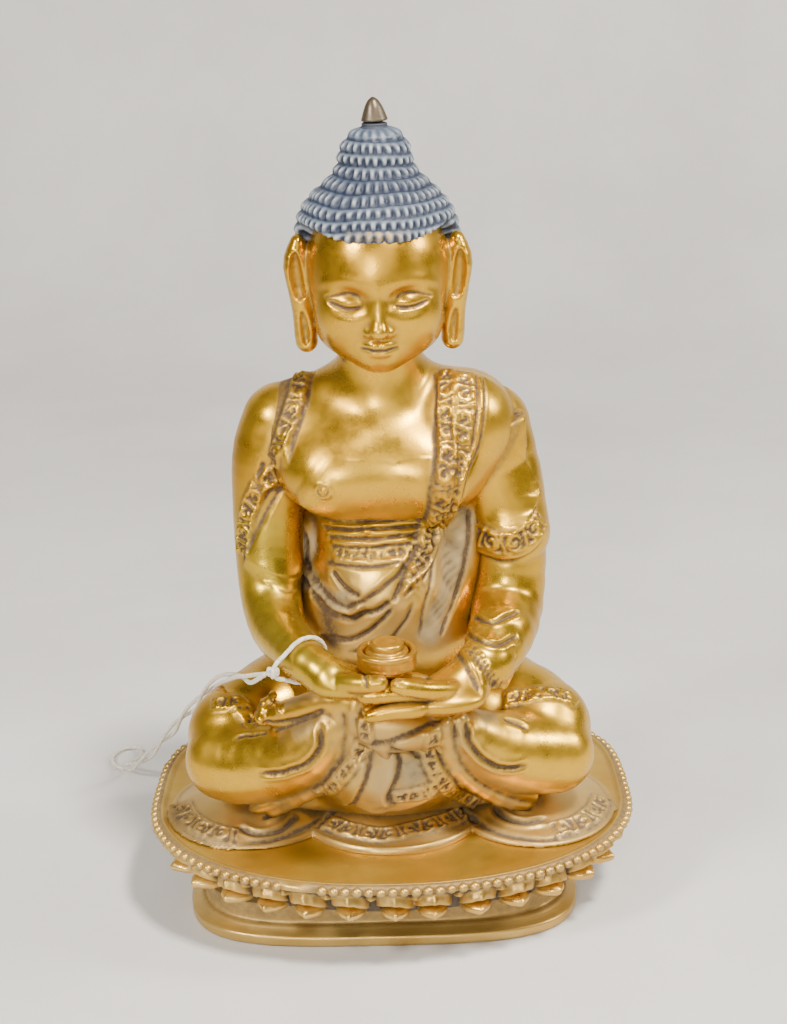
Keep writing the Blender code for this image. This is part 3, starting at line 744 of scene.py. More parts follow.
def build_petals():
    """A ring of lotus petals: pointed hoods, an almond-shaped tip under each, small tips between."""
    count = PETAL_COUNT * PETAL_SAMPLES
    profile = smooth_path([(17.5, 10.0), (16.0, 10.6), (13.2, 11.9), (10.4, 13.6), (8.3, 16.0),
            (6.8, 19.0), (5.2, 21.0), (3.6, 22.15),], 72)
    _, _, length = plan_curve(4.0, count)
    pitch = length / PETAL_COUNT
    u = ((np.arange(count) / PETAL_SAMPLES + 0.5) % 1.0 - 0.5)[None, :] * pitch
    z = profile[:, 1][:, None]
    number = (np.arange(count) / PETAL_SAMPLES + 0.5).astype(int)[None, :] % PETAL_COUNT
    rng = np.random.default_rng(3)
    shift, tall, lean = (rng.normal(0, s, PETAL_COUNT)[number] for s in (0.25, 0.22, 0.06))
    x = u - shift
    hood_mid = 18.9 - 0.075 * x ** 2 + tall + lean * x
    above, below = (z - hood_mid) / 2.3, (hood_mid - z) / 1.15
    hood = np.where(z > hood_mid, np.exp(-above ** 2 * 1.1), np.exp(-np.abs(below) ** 3))
    hood = hood * np.clip(1.10 - (np.abs(x) / 4.9) ** 3.0, 0, 1) ** 0.6
    ridge = np.exp(-((z - hood_mid + 0.1) / 0.45) ** 2) * np.clip(1.0 - (np.abs(x) / 4.6) ** 2, 0, 1)
    keel = np.exp(-(x / 0.9) ** 2) * np.clip((z - hood_mid) / 1.0 + 1, 0, 1) * hood
    reach = (np.abs(x) / 4.1) ** 1.8 + ((z - 15.2 - 0.5 * tall) / 2.35) ** 2
    almond = np.clip(1.0 - reach, 0, 1) ** 0.5
    almond = almond * (1 + 0.10 * np.exp(-(x / 0.7) ** 2))
    side = pitch / 2 - np.abs(u)
    small = np.clip(1.0 - (side / 1.9) ** 1.5 - np.abs(z - 20.1) / 1.6, 0, 1) ** 0.7
    relief = 3.3 * hood + 0.3 * ridge + 0.55 * keel
    relief = np.maximum(relief, 5.6 * almond)
    relief = np.maximum(relief, 2.4 * small)
    relief = relief + 0.10 * random_waves(u * 2 + number * 31.0, 0 * z, z * 2.0, 8, 2.6)
    relief = relief * np.clip((z - 10.0) / 0.6, 0, 1)
    # Painted shade where the relief is low: the gaps between petals and under the hoods.
    shade = 0.95 * np.exp(-(relief / 1.0) ** 2) + 0.15 * np.clip(1 - almond * 3, 0, 1)
    return lofted("lotus_petal_band", profile, count, relief=relief, grime_and_shade=np.clip(shade + 0 * relief, 0, 1))


def build_deck():
    profile = dense_profile([
        (4.2, 22.5), (3.0, 22.6), (2.75, 23.0), (2.7, 24.4), (2.85, 24.95), (3.15, 25.12), (3.5, 25.0),
        (3.8, 24.72), (4.4, 24.66), (12.0, 24.75), (30.0, 24.8), (42.0, 24.8),
    ], 0.5)
    count = 700
    # Painted shade on the rim's outer face and along a line just inside the rim.
    shade = np.where(profile[:, 0] < 3.0, 0.5, 0.0)[:, None] + 0.5 * np.exp(-((profile[:,
            0] - 4.1) / 0.45) ** 2)[:, None]
    rows = np.repeat(shade, count, axis=1)
    return lofted("deck_surface", profile, count, grime_and_shade=np.clip(rows, 0, 1))


BEAD_PITCH = 2.82
BEAD_RADII = (1.22, 1.28, 1.20)
BEAD_HEIGHT = 23.72
BEAD_GAP = (-27.5, -19.5)
BALL_COLUMNS, BALL_ROWS = 14, 9
PLAN_SAMPLES = 4000
STRIP_COUNT = 900


def ball_mesh():
    """A unit sphere's points and quads, open at its poles, which the caller closes."""
    theta = np.linspace(0.06, np.pi - 0.06, BALL_ROWS)
    phi = np.linspace(0, 2 * np.pi, BALL_COLUMNS, endpoint=False)
    verts = np.stack([
        (np.sin(theta)[:, None] * np.cos(phi)).ravel(), (np.sin(theta)[:, None] * np.sin(phi)).ravel(),
        np.repeat(np.cos(theta), BALL_COLUMNS)], axis=1)
    return verts, strip_faces(BALL_ROWS, BALL_COLUMNS)[:, ::-1]


def bead_balls():
    """The beads' points, quads and caps, with slight differences in size and height."""
    points, normals, length = plan_curve(1.45, PLAN_SAMPLES)
    number = int(length / BEAD_PITCH)
    unit_verts, unit_faces = ball_mesh()
    rng = np.random.default_rng(9)
    verts, faces, caps, total = [], [], [], 0
    for k in range(number):
        at = int(k / number * PLAN_SAMPLES)
        x, y = points[at]
        if y < 0 and BEAD_GAP[0] < x < BEAD_GAP[1]:
            continue
        turn = math.atan2(normals[at][1], normals[at][0])
        size = np.array(BEAD_RADII) * rng.normal(1.0, 0.045)
        shape = unit_verts * size
        c, s = math.cos(turn), math.sin(turn)
        placed = np.stack([shape[:, 0] * c - shape[:, 1] * s + x, shape[:, 0] * s + shape[:, 1] * c + y,
                           shape[:, 2] + BEAD_HEIGHT + rng.normal(0, 0.06)], axis=1)
        verts.append(placed)
        faces.append(unit_faces + total)
        caps.append([total + i for i in range(BALL_COLUMNS)])
        caps.append([total + len(unit_verts) - BALL_COLUMNS + i for i in range(BALL_COLUMNS)][::-1])
        total += len(unit_verts)
    return np.vstack(verts), np.vstack(faces), caps


def bead_strip():
    """The strip behind the beads, which is plain and swollen where beads are missing."""
    strip = smooth_path([(3.1, 22.55), (2.2, 22.6), (1.7, 23.0), (1.62, 23.8), (1.75, 24.55), (2.3, 24.95),
                         (3.1, 24.98)], 20)
    ring_points, _, _ = plan_curve(2.0, STRIP_COUNT)
    x = ring_points[:, 0]
    in_gap = (ring_points[:, 1] < 0) & (x > BEAD_GAP[0] + 0.6) & (x < BEAD_GAP[1] - 0.6)
    swell = np.convolve(np.r_[in_gap[-4:], in_gap, in_gap[:4]].astype(float), np.ones(9) / 9, "valid")
    rows = []
    for inset, z in strip:
        ring, out, _ = plan_curve(inset, STRIP_COUNT)
        bulge = 0.75 * swell * math.sin(math.pi * min(max((z - 22.55) / 2.4, 0), 1))
        rows.append(np.column_stack([ring + out * bulge[:, None], np.full(STRIP_COUNT, z)]))
    closing = strip_faces(2, STRIP_COUNT)
    last = (len(strip) - 1) * STRIP_COUNT
    closing = np.where(closing < STRIP_COUNT, closing + last, closing - STRIP_COUNT)
    faces = np.vstack([strip_faces(len(strip), STRIP_COUNT), closing])
    # Painted shade on the strip behind the beads, lighter where it swells into the gap.
    return np.array(rows).reshape(-1, 3), faces, 0.65 - 0.6 * np.tile(swell, len(strip))


def build_beads():
    balls, ball_faces, caps = bead_balls()
    strip, strip_quads, strip_shade = bead_strip()
    # Painted shade: each bead darker towards its underside.
    ball_shade = np.clip(0.5 - (balls[:, 2] - 23.3) * 0.6, 0, 0.6)
    return piece_from("bead_row", np.vstack([balls, strip]), np.vstack([ball_faces,
            strip_quads + len(balls)]), extra=caps, attributes={"grime_and_shade": np.r_[ball_shade, strip_shade]})


# ---------------------------------------------------------------- robe hem on the pedestal

HEM_LOBES = ((0.0, -5.0, 23.5, 22.0), (-35.0, 0.0, 22.5, 22.8), (36.5, -2.0, 21.0, 23.0))
HEM_BACK = (0.0, 12.0, 51.0, 25.0)
HEM_LEVELS = (0.25, 0.0, 0.0, 0.25)
HEM_TOP = 32.5


def lobe_depth(p, lobe):
    """Roughly how far inside a lobe's outline a point lies, in millimetres."""
    x, y, half_x, half_y = lobe
    q = np.stack([(p[:, 0] - x) / half_x, (p[:, 1] - y) / half_y], axis=1)
    r = np.sqrt((q ** 2).sum(1))
    g = np.sqrt((q[:, 0] / half_x) ** 2 + (q[:, 1] / half_y) ** 2)
    return -r * (r - 1.0) / np.maximum(g, 1e-5)


def hem_field(p):
    tops, depths = [], []
    for lobe, level in zip(HEM_LOBES + (HEM_BACK,), HEM_LEVELS):
        depth = lobe_depth(p, lobe)
        rim = 0.30 * np.exp(-((depth - 0.9) / 0.6) ** 2)
        tops.append(25.0 + level + 1.15 * np.sqrt(np.clip(depth / 0.9, 0, 1)) + rim
                    + 0.34 * np.clip(depth - 1.5, 0, 19))
        depths.append(depth)
    top = np.maximum.reduce(tops)
    outside = -np.maximum.reduce(depths)
    slab = (p[:, 2] - np.minimum(top, HEM_TOP)) * 0.7
    return np.maximum(np.maximum(slab, outside), 24.6 - p[:, 2])


def build_hem():
    s = Sculpt(hem_field, (-60, -30, 24.0), (60, 39, 34.0), 0.42)
    s.stroke([(-53.4, 36.6), (-53.3, 32.3), (-50.0, 28.7), (-43.9, 26.3), (-35.4, 25.6), (-27.5, 27.3),
              (-21.2, 30.1), (-16.4, 33.9)], 0.9, -0.35, grime_and_shade=0.5)
    s.stroke([(18.5, 33.9), (23.8, 28.5), (31.6, 25.7), (41.0, 25.0), (48.7, 27.4), (54.1, 32.1),
              (54.8, 37.2)], 0.9, -0.35, grime_and_shade=0.5)
    s.band([(-52.2, 37.5), (-50.9, 33.6), (-47.4, 30.6), (-42.5, 28.4), (-38.5, 27.6)], 2.2, 0.45, 6.2)
    s.band([(40.0, 27.2), (46.0, 29.0), (50.5, 32.2), (52.6, 36.4)], 2.2, 0.45, 6.2)
    s.band([(-17.0, 31.2), (-10.4, 28.8), (-2.7, 27.2), (5.9, 28.6), (14.5, 31.0), (18.5, 33.2)], 1.9,
            0.45, 5.4)
    for route in (
        [(-38.6, 30.6), (-33.7, 28.3), (-27.4, 29.4), (-23.4, 33.2)],
        [(-32.3, 32.2), (-27.2, 34.6), (-24.8, 36.0)],
        [(25.0, 35.0), (27.7, 31.5), (33.2, 29.6), (39.0, 30.7)],
        [(26.2, 37.1), (30.1, 34.4), (35.3, 33.4)],
    ):
        s.stroke(route, 0.75, -0.7, 3.0, grime_and_shade=0.85, lip=0.3)
    s.contact(legs_field, 0.9, 0.45)
    s.stroke([(-18.9, 29.6), (-14.8, 33.9), (-10.9, 37.2)], 0.8, -0.9, 1.0, grime_and_shade=0.9, lip=0.25)
    s.stroke([(21.1, 29.9), (17.7, 33.9), (13.9, 38.3)], 0.8, -0.9, 1.0, grime_and_shade=0.9, lip=0.25)
    return s


# ---------------------------------------------------------------- legs

KNEE_LEFT = tuple(seen(*p) for p in (
    (-40.0, 48.6, -10, 10.3), (-33.6, 47.4, -14, 9.9), (-25.9, 48.4, -19, 8.7), (-18.8, 52.0, -23, 7.3),
    (-14.2, 57.0, -25, 5.2)))
KNEE_RIGHT = tuple(seen(*p) for p in (
    (40.0, 48.4, -10, 10.3), (31.8, 48.9, -14, 9.9), (24.7, 50.5, -19, 8.4), (19.2, 54.5, -23, 6.0)))
THIGH = ((17, 13, 48, 17.5), (31, 5, 48.5, 14.0), (38.5, -3, 47.5, 12.6))
ROLLS = tuple(tuple(seen(*p) for p in roll) for roll in (
    ((-12.4, 60.9, -27.5, 1.9), (-12.2, 55.0, -27, 2.2), (-13.6, 49.2, -25.5, 2.4), (-18.4, 43.4, -21.5, 2.3),
     (-25.5, 38.4, -16, 2.2), (-34.0, 34.6, -10, 1.6)),
    ((-8.6, 60.8, -29, 1.9), (-8.5, 54.1, -28, 2.2), (-9.7, 49.1, -26.5, 2.3), (-13.7, 44.1, -23.5, 2.2),
     (-20.9, 38.7, -18.5, 2.1), (-29.5, 33.9, -12, 1.6)),
    ((17.2, 57.6, -26.5, 1.9), (17.9, 50.9, -25.5, 2.4), (20.9, 45.8, -22.5, 2.5), (27.0, 40.5, -17.5, 2.3),
     (35.0, 36.6, -11.5, 1.6)),
    ((13.7, 56.9, -28, 1.9), (14.0, 51.0, -26.5, 2.2), (15.9, 45.5, -24.5, 2.3), (20.8, 40.2, -20.5, 2.2),
     (28.5, 35.6, -15, 2.0), (36.5, 33.6, -10, 1.5))))
SOLE = tuple(seen(*p) for p in ((-29.6, 59.8, -19.5, 2.2), (-26.5, 60.2, -20.5, 2.7),
        (-21.6, 61.5, -22.5, 2.9), (-15.4, 63.3, -25, 2.8), (-8, 63.0, -28, 2.5)))
TOES = tuple(seen(*p) for p in ((-31.0, 59.2, -20.6, 1.7), (-30.2, 61.7, -19.4, 1.45),
        (-29.2, 63.7, -18.2, 1.3), (-28.0, 65.3, -17.0, 1.2)))


def legs_field(p):
    m = mirror_x(p)
    body = smooth_min(limb(p, THIGH, 2), limb(m, THIGH, 2), 8.0)
    body = smooth_min(body, rod(p, (-17, 15, 47), (17, 15, 47), 17.5, 17.5), 8.0)
    body = smooth_min(body, ball(p, (0, -13, 48), (23, 18, 14.5)), 6.0)
    body = smooth_min(body, ball(p, (0, -4, 40.5), (23, 17.5, 11.5)), 4.0)
    body = smooth_min(body, ball(p, (0, -4, 36), (20, 14.5, 9.5)), 4.0)
    body = smooth_min(body, ball(p, (0, 1, 30.5), (39, 13, 7.5)), 4.0)
    body = smooth_min(body, limb(p, KNEE_LEFT, 2, 1.5), 1.6)
    body = smooth_min(body, limb(p, KNEE_RIGHT, 2, 1.5), 1.6)
    for roll in ROLLS:
        body = smooth_min(body, limb(p, roll, 2, 0.6), 0.7)
    wedge = ball(p, seen(1.5, 56.0, -29.0), (11.0, 5.0, 5.4), ("Y", 8.0))
    body = smooth_min(body, wedge, 1.0)
    body = smooth_min(body, limb(p, SOLE, 2, 1.5), 0.9)
    for toe in TOES:
        body = smooth_min(body, ball(p, toe[:3], (toe[3], toe[3] * 1.3, toe[3])), 0.35)
    tongue = limb(p, tuple(seen(*q) for q in ((-1.6, 49.6, -25.8, 2.4), (-1.8, 46.0, -25.6, 3.0),
            (-3.4, 40.5, -24.4, 3.4), (-3.6, 36.6, -22.6, 3.0))), 3, 1.0)
    body = smooth_min(body, tongue, 0.8)
    return smooth_max(body, 28.2 - p[:, 2], 1.5)


def build_legs():
    s = Sculpt(legs_field, (-54, -40, 27.5), (54, 35, 68.5), 0.5)
    s.band([(-5.9, 59.9), (-5.8, 52.4), (-8.3, 47.8), (-13.0, 42.0), (-17.4, 37.4)], 1.35, 0.4, 3.6, 0.6)
    s.band([(9.4, 56.1), (9.4, 49.4), (12.0, 42.6), (16.6, 37.2), (21.6, 34.5)], 1.5, 0.42, 4.0, 0.6)
    s.band([(-43.5, 63.7), (-39.7, 63.9), (-35.9, 63.6), (-31.8, 61.8)], 1.7, 0.4, 4.6)
    s.band([(27.6, 62.6), (33.2, 63.8), (38.5, 64.4), (43.8, 63.2), (46.0, 61.0)], 1.8, 0.4, 4.8)
    s.band([(-0.6, 36.9), (5.4, 37.6), (11.6, 40.0)], 1.5, 0.35, 4.4)
    for route in ([(-32.8, 44.2), (-26.8, 44.4), (-20.6, 46.4), (-17.0, 51.0), (-16.7, 57.7)],
                  [(19.1, 57.6), (19.4, 51.7), (22.4, 47.0), (27.8, 44.0), (34.3, 44.7)]):
        s.stroke(route, 0.7, -0.75, 4.0, grime_and_shade=0.5, lip=0.28)
    s.stroke([(-38.7, 53.4), (-35.5, 55.6), (-32.0, 57.1)], 0.6, -0.5, 3.0, grime_and_shade=0.6)
    s.stroke([(27.8, 58.6), (31.7, 56.8), (34.3, 54.5)], 0.9, -0.6, 2.0, grime_and_shade=0.6, lip=0.2)
    s.stroke([(-31.9, 58.2), (-27.7, 57.6), (-21.6, 58.6), (-15.4, 61.0)], 0.5, -0.5, 2.0, grime_and_shade=0.8)
    s.stroke([(-27.8, 66.2), (-27.4, 62.9), (-26.0, 59.6)], 0.55, 0.45, 0.5, grime_and_shade=0.2)
    s.edge([(-5.6, 51.6), (-0.5, 51.6), (6.4, 54.5), (14.9, 58.3)], 1.0, -1, 0.3, 4.0, 0.9)
    s.stroke([(-0.5, 51.8), (3.7, 49.2), (7.9, 47.8)], 0.55, -0.6, 1.0, grime_and_shade=0.7)
    s.edge([(-10.2, 35.5), (-5.6, 33.8), (0.6, 33.6), (7.6, 35.4), (12.7, 38.5)], 0.9, 1, 0.3, 4.0, 0.7)
    s.edge([(-1.0, 50.6), (1.6, 48.0), (1.0, 42.9), (-1.2, 37.8), (0.6, 34.8)], 1.2, -1, 0.25, 4.5, 0.9)
    s.edge([(-5.0, 48.6), (-6.4, 43.1), (-8.8, 37.6), (-11.6, 34.6)], 0.8, -1, 0.25, 3.5, 0.8)
    s.roughen([(4.5, 47.0), (6.0, 41.0)], 3.6, 0.14, 25, 0.9, 0.35)
    s.mark("aged", [(0, 50), (0, 42), (0, 36), (0, 31)], 14.0, 1.0)
    s.mark("aged", [(-10.5, 59.0), (-10.5, 52.0), (-12.5, 46.5), (-18.0, 40.5), (-27.0, 36.0)], 4.5, 0.8)
    s.mark("aged", [(15.5, 56.5), (16.0, 50.5), (18.4, 45.5), (24.0, 40.3), (32.0, 36.5)], 4.5, 0.8)
    s.mark("aged", [(-30, 36), (-20, 33), (0, 31), (20, 33), (30, 35)], 5.0, 0.9)
    s.contact(right_arm_field, 0.9, 0.8)
    s.contact(left_arm_field, 0.9, 0.8)
    s.contact(torso_field, 1.1, 0.6)
    s.contact(hem_field, 0.7, 0.45)
    return s


# ---------------------------------------------------------------- torso

def torso_field(p):
    m = mirror_x(p)
    parts = [(ball(p, (0, -1, 121), (26.5, 17.5, 16.5)), 0)]
    parts += [(ball(p, (10.5, -9.5, 118.5), (13.5, 11.5, 9.5)), 7.0),
            (ball(m, (10.5, -9.5, 118.5), (13.5, 11.5, 9.5)), 7.0)]
    parts += [(rod(p, (-21, 1, 128.5), (21, 1, 128.5), 9.5, 9.5), 7.0)]
    parts += [(ball(p, (0, 2, 136), (17, 9, 8)), 6.0)]
    parts += [(rod(p, (0, -1, 134), (0, -4, 150), 10, 9.5), 6.0)]
    parts += [(ball(p, (0, 9, 112), (26, 12, 26)), 7.0)]
    parts += [(ball(p, (0, 0, 99), (17.5, 17.2, 14)), 3.5)]
    parts += [(ball(p, (0, -4.5, 88), (17, 17.5, 12)), 5.0)]
    parts += [(ball(p, (0, -3, 75), (20, 17.5, 16)), 6.0)]
    parts += [(ball(p, (0, 6, 76), (26, 20, 26)), 6.0)]
    parts += [(ball(p, (17.0, -4, 93), (6.5, 7.5, 20), ("Y", 8.0)), 3.0)]
    parts += [(ball(p, (20, -3, 128), (12, 13, 13)), 4.0)]
    body = blend_all(parts)
    return np.maximum(body, 58.0 - p[:, 2])


BACK_FOLDS = (
    (-20, -15, -9, 66, 0.55), (-12, -8, -3, 74, 0.7), (-5, -4, 2, 64, 0.5), (3, 1, 6, 80, 0.7),
    (10, 5, 11, 68, 0.6), (17, 12, 19, 62, 0.55),
)


def build_torso():
    s = Sculpt(torso_field, (-36, -30, 58), (36, 32, 147), 0.46)
    s.edge([(14.3, 146.0), (13.4, 139.0), (13.0, 130.0), (12.4, 119.1), (10.9, 111.7), (7.7, 103.4),
            (3.0, 94.0)], 0.8, 1, 0.3, 11.0)
    s.band([(15.0, 145.6), (15.2, 139.0), (15.0, 132.0), (14.8, 124.9), (13.3, 116.6), (10.9, 108.8),
            (7.4, 101.4), (4.5, 96.5)], 1.85, 0.5, 5.0)
    s.band([(19.4, 144.7), (19.6, 139.4), (19.2, 133.1), (18.1, 126.3), (16.0, 119.0), (13.2, 110.7),
            (9.2, 101.8), (5.2, 92.6)], 1.75, 0.5, 4.8)
    s.stroke([(22.6, 144.0), (22.9, 139.4), (21.3, 127.4), (18.4, 119.0), (11.0, 101.3), (3.2, 90.1)],
            0.5, 0.75, 1.5, 0.0, -0.25)
    s.edge([(-16.0, 146.6), (-17.6, 139.8), (-19.6, 133.5), (-21.2, 128.4), (-22.5, 123.4)], 0.7, -1, 0.3,
            9.0)
    s.band([(-17.4, 146.0), (-19.2, 139.6), (-21.4, 133.5), (-23.6, 128.4), (-25.7, 123.7)], 1.95, 0.5, 5.2)
    s.edge([(12.0, 110.2), (9.9, 110.3), (3.8, 109.9), (-7.2, 110.2), (-14.7, 111.1), (-18.4, 113.0),
            (-21.1, 115.3)], 0.9, -1, 0.35, 7.0, 0.7)
    s.dome((-14.0, 117.1), 1.0, 0.75)
    s.ring((-14.0, 117.1), 1.75, 0.35, 0.45, 0.0)
    s.ring((-14.0, 117.1), 1.3, 0.25, -0.15, 0.55)
    for route, height in (([(-15.2, 109.5), (-7.3, 108.4), (-4.2, 108.2), (3.8, 108.7), (9.4, 109.1)], 0.75),
                          ([(-14.2, 106.9), (-7.3, 106.2), (-4.3, 106.4), (3.7, 106.5), (8.7, 107.1)], 0.75),
                          ([(-13.3, 104.6), (-3.4, 103.8), (7.2, 104.8)], 0.6),
                          ([(-12.6, 99.9), (-3.5, 98.7), (5.3, 100.0)], 0.7)):
        s.stroke(route, 0.85, height, 1.5)
    for route in (
        [(-14.4, 108.2), (-7.3, 107.3), (2.7, 107.6), (9.0, 108.1)],
        [(-13.6, 105.8), (-3.4, 104.9), (8.0, 105.9)],
        [(-13.2, 103.4), (-3.4, 102.7), (7.0, 103.6)],
    ):
        s.stroke(route, 0.4, -0.45, 1.0, grime_and_shade=0.8)
    s.stroke([(-4.4, 109.4), (-4.0, 107.4), (-3.6, 105.6)], 0.9, 0.55, 0.6)
    s.band([(-12.9, 101.9), (-3.5, 101.0), (6.8, 102.0)], 1.25, 0.3, 3.4, 0.8, 0.0)
    s.edge([(-14.5, 98.9), (-3.5, 97.4), (5.0, 98.8)], 0.7, -1, 0.4, 5.0, 0.8)
    s.stroke([(-12.6, 97.6), (-10.8, 94.2), (-8.0, 91.6), (-5.7, 90.2)], 0.6, -0.9, 1.0, grime_and_shade=0.9)
    s.edge([(4.5, 99.4), (1.6, 95.0), (-1.8, 92.4), (-5.6, 89.8), (-9.5, 88.6)], 0.8, -1, 0.35, 4.0, 0.8)
    s.stroke([(4.4, 98.4), (4.0, 94.6), (2.4, 91.2), (1.4, 88.4)], 0.5, -0.7, 1.0, grime_and_shade=0.8)
    s.stroke([(5.6, 98.6), (5.2, 94.0), (3.6, 90.6)], 0.5, 0.5, 1.0)
    s.stroke([(-20.1, 100.0), (-17.5, 93.7), (-13.4, 88.4), (-8.6, 86.3), (-5.2, 88.6)], 0.8, 0.8, 2.0,
            0.0, -0.3)
    s.stroke([(-18.6, 92.0), (-15.8, 88.0), (-12.0, 85.6), (-8.7, 84.3), (-5.8, 85.9), (-2.7, 86.2),
            (1.5, 89.2)], 0.7, -0.9, 1.0, grime_and_shade=0.9)
    s.roughen([(-20.0, 95.0), (-16.1, 92.5), (-12.1, 89.4), (-8.8, 90.0)], 2.2, 0.55, 21, 1.3, 0.5)
    s.roughen([(-21.8, 114.0), (-20.7, 107.6), (-19.4, 100.0), (-17.5, 94.5)], 2.8, 0.35, 23, 1.2, 0.35)
    s.darken_round([(-15.3, 87.4), (-14.0, 83.0), (-13.0, 78.0)], 3.2, 0.9)
    s.mark("aged", [(-12.0, 92.0), (-4.0, 80.0), (6.0, 84.0)], 12.0, 0.75)
    s.mark("aged", [(15.0, 104.0), (13.0, 92.0), (11.0, 78.0)], 6.0, 1.0)
    s.stroke([(-17.0, 80.8), (-8.9, 79.3), (-2.8, 82.3), (2.2, 88.1)], 0.6, -0.7, 3.0, grime_and_shade=0.5)
    s.stroke([(-10.0, 76.0), (-2.0, 77.0), (4.0, 82.5), (7.0, 90.0)], 0.6, -0.45, 4.0, grime_and_shade=0.35)
    s.roughen([(19.6, 112.0), (17.6, 104.0), (15.6, 95.0), (12.8, 86.0), (9.5, 79.0)], 3.4, 0.28, 22, 1.1,
            0.35)
    s.stroke([(20.3, 112.0), (19.4, 101.0), (16.6, 89.0), (12.9, 79.2)], 0.6, -0.8, 2.0, grime_and_shade=0.8)
    s.stroke([(12.6, 103.0), (10.6, 94.0), (9.0, 86.0), (8.0, 79.0)], 0.5, -0.4, 3.0, grime_and_shade=0.4)
    for top, middle, low, end, depth in BACK_FOLDS:
        s.stroke([(top, 18.0, 134.0), ((top + middle) / 2, 24.0, 116.0), (middle, 24.0, 98.0),
                  (low, 25.0, end)], 1.5, -depth, 9.0, grime_and_shade=0.22, lip=0.45 * depth)
    s.edge([(-24.0, 10.0, 132.0), (-8.0, 15.0, 137.0), (10.0, 15.0, 138.0), (22.0, 10.0, 134.0)], 0.7, 1,
            0.4, 8.0)
    s.contact(right_arm_field, 1.0, 0.7)
    s.contact(left_arm_field, 0.8, 0.6)
    s.contact(legs_field, 1.4, 0.8)
    return s


# ---------------------------------------------------------------- arms

RIGHT_ARM = ((-24, 1, 128, 10), (-27.2, 0, 120, 9.2), (-28.6, -1, 108, 8.2), (-28.8, -3, 96, 7.7),
        (-28.2, -7, 86.5, 7.3), (-26.4, -15, 81.5, 6.6), (-23.0, -24, 80.0, 5.7),
        (-18.8, -32.5, 79.2, 5.0), (-13.5, -37.6, 77.6, 4.5),)
LEFT_ARM = ((25.5, 1, 126, 10.5), (30.2, -1, 106, 9.2), (30, -5, 84, 8.8), (27.6, -17, 79, 7.9),
        (24.0, -27, 75.8, 6.6),)
LEFT_WRIST = ((24.0, -26, 76.0, 5.4), (18.6, -32.6, 74.6, 4.9), (13.0, -36.5, 72.6, 4.3))


def fingers(p, start_x, end_x, z, rows, radius, k=0.4, fall=0.0):
    """Four fingers lying side by side along X, dropping towards their tips."""
    parts = []
    for n, y in enumerate(rows):
        bend = 0.5 * (n - 1.5)
        end = end_x - abs(bend) * np.sign(end_x - start_x)
        parts.append((limb(p, ((start_x, y, z + fall, radius * 1.1),
                ((start_x + end) / 2, y, z + 0.35 + fall / 2, radius), (end, y, z - 0.2, radius * 0.8))),
                k))
    return blend_all(parts)


def right_arm_field(p):
    arm = limb(p, RIGHT_ARM, 3, 0.8)
    palm = ball(p, (-9, -38, 76.2), (8.5, 6.5, 3.3))
    arm = smooth_min(arm, palm, 3.0)
    arm = smooth_min(arm, fingers(p, -5, 9.5, 74.9, (-43.4, -40.5, -37.5, -34.6), 1.75), 0.5)
    thumb = limb(p, ((-11, -41.0, 77.6, 2.3), (-6.5, -44.6, 78.6, 2.0), (-1.6, -46.0, 79.2, 1.85)))
    return smooth_min(arm, thumb, 0.5)


def left_arm_field(p):
    arm = smooth_min(limb(p, LEFT_ARM, 3, 0.8), limb(p, LEFT_WRIST, 3, 0.8), 0.6)
    cuff = limb(p, ((29.6, -1, 114, 9.0), (30.2, -2, 106, 9.3), (30.6, -3, 100.5, 10.0)), 3, 0.6)
    arm = smooth_min(arm, cuff, 0.5)
    palm = ball(p, (12, -38.0, 71.8), (11.0, 7, 3.6))
    arm = smooth_min(arm, palm, 3.0)
    arm = smooth_min(arm, fingers(p, 7, -5.0, 70.4, (-44.2, -41.3, -38.3, -35.2), 1.8, 0.4, 1.4), 0.4)
    thumb = limb(p, ((14.5, -40, 74.4, 2.4), (9.0, -44.4, 76.6, 1.95), (4.6, -45.9, 78.0, 1.85),
            (2.2, -46.3, 78.6, 1.75)))
    return smooth_min(arm, thumb, 0.5)


def build_right_arm():
    s = Sculpt(right_arm_field, (-39, -48, 67), (11.5, 13, 139), 0.42)
    s.edge([(-21.3, 123.6), (-22.9, 119.0), (-26.6, 112.7), (-30.5, 105.3), (-33.9, 98.9)], 0.75, 1, 0.35,
            12.0)
    s.band([(-29.0, 118.4), (-31.6, 113.6), (-33.2, 107.4), (-33.9, 101.6)], 1.8, 0.5, 5.0)
    s.band([(-21.6, 124.9), (-23.9, 122.6), (-26.7, 120.4), (-29.2, 118.7)], 1.7, 0.5, 4.6)
    s.band([(-19.6, 133.5), (-22.4, 129.4), (-24.2, 125.4)], 1.9, 0.5, 5.2)
    s.stroke([(-29.5, 119.8), (-28.2, 123.4), (-27.6, 125.0)], 0.5, -0.5, 1.0, grime_and_shade=0.6)
    s.stroke([(-21.8, 118.6), (-25.0, 119.0), (-27.4, 118.2), (-29.4, 116.2)], 0.7, 0.5, 1.0, 0.1, -0.2)
    s.stroke([(-5.2, 71.9), (-5.5, 68.8), (-5.1, 65.6)], 0.35, -0.4, 0.6, grime_and_shade=0.7)
    s.ring((-1.2, 69.9), 1.0, 0.28, 0.3, 0.5)
    s.stroke([(-3.9, 71.3), (-4.1, 69.6), (-3.7, 68.2)], 0.25, -0.25, 0.3, grime_and_shade=0.5)
    s.mark("green", [(-27.0, 108.0), (-28.0, 96.0), (-27.0, 84.0), (-20.0, 77.0), (-10.0, 72.5)], 9.0, 1.0)
    s.contact(torso_field, 0.7, 0.55)
    s.contact(legs_field, 0.9, 0.7)
    s.contact(left_arm_field, 0.7, 0.8)
    return s


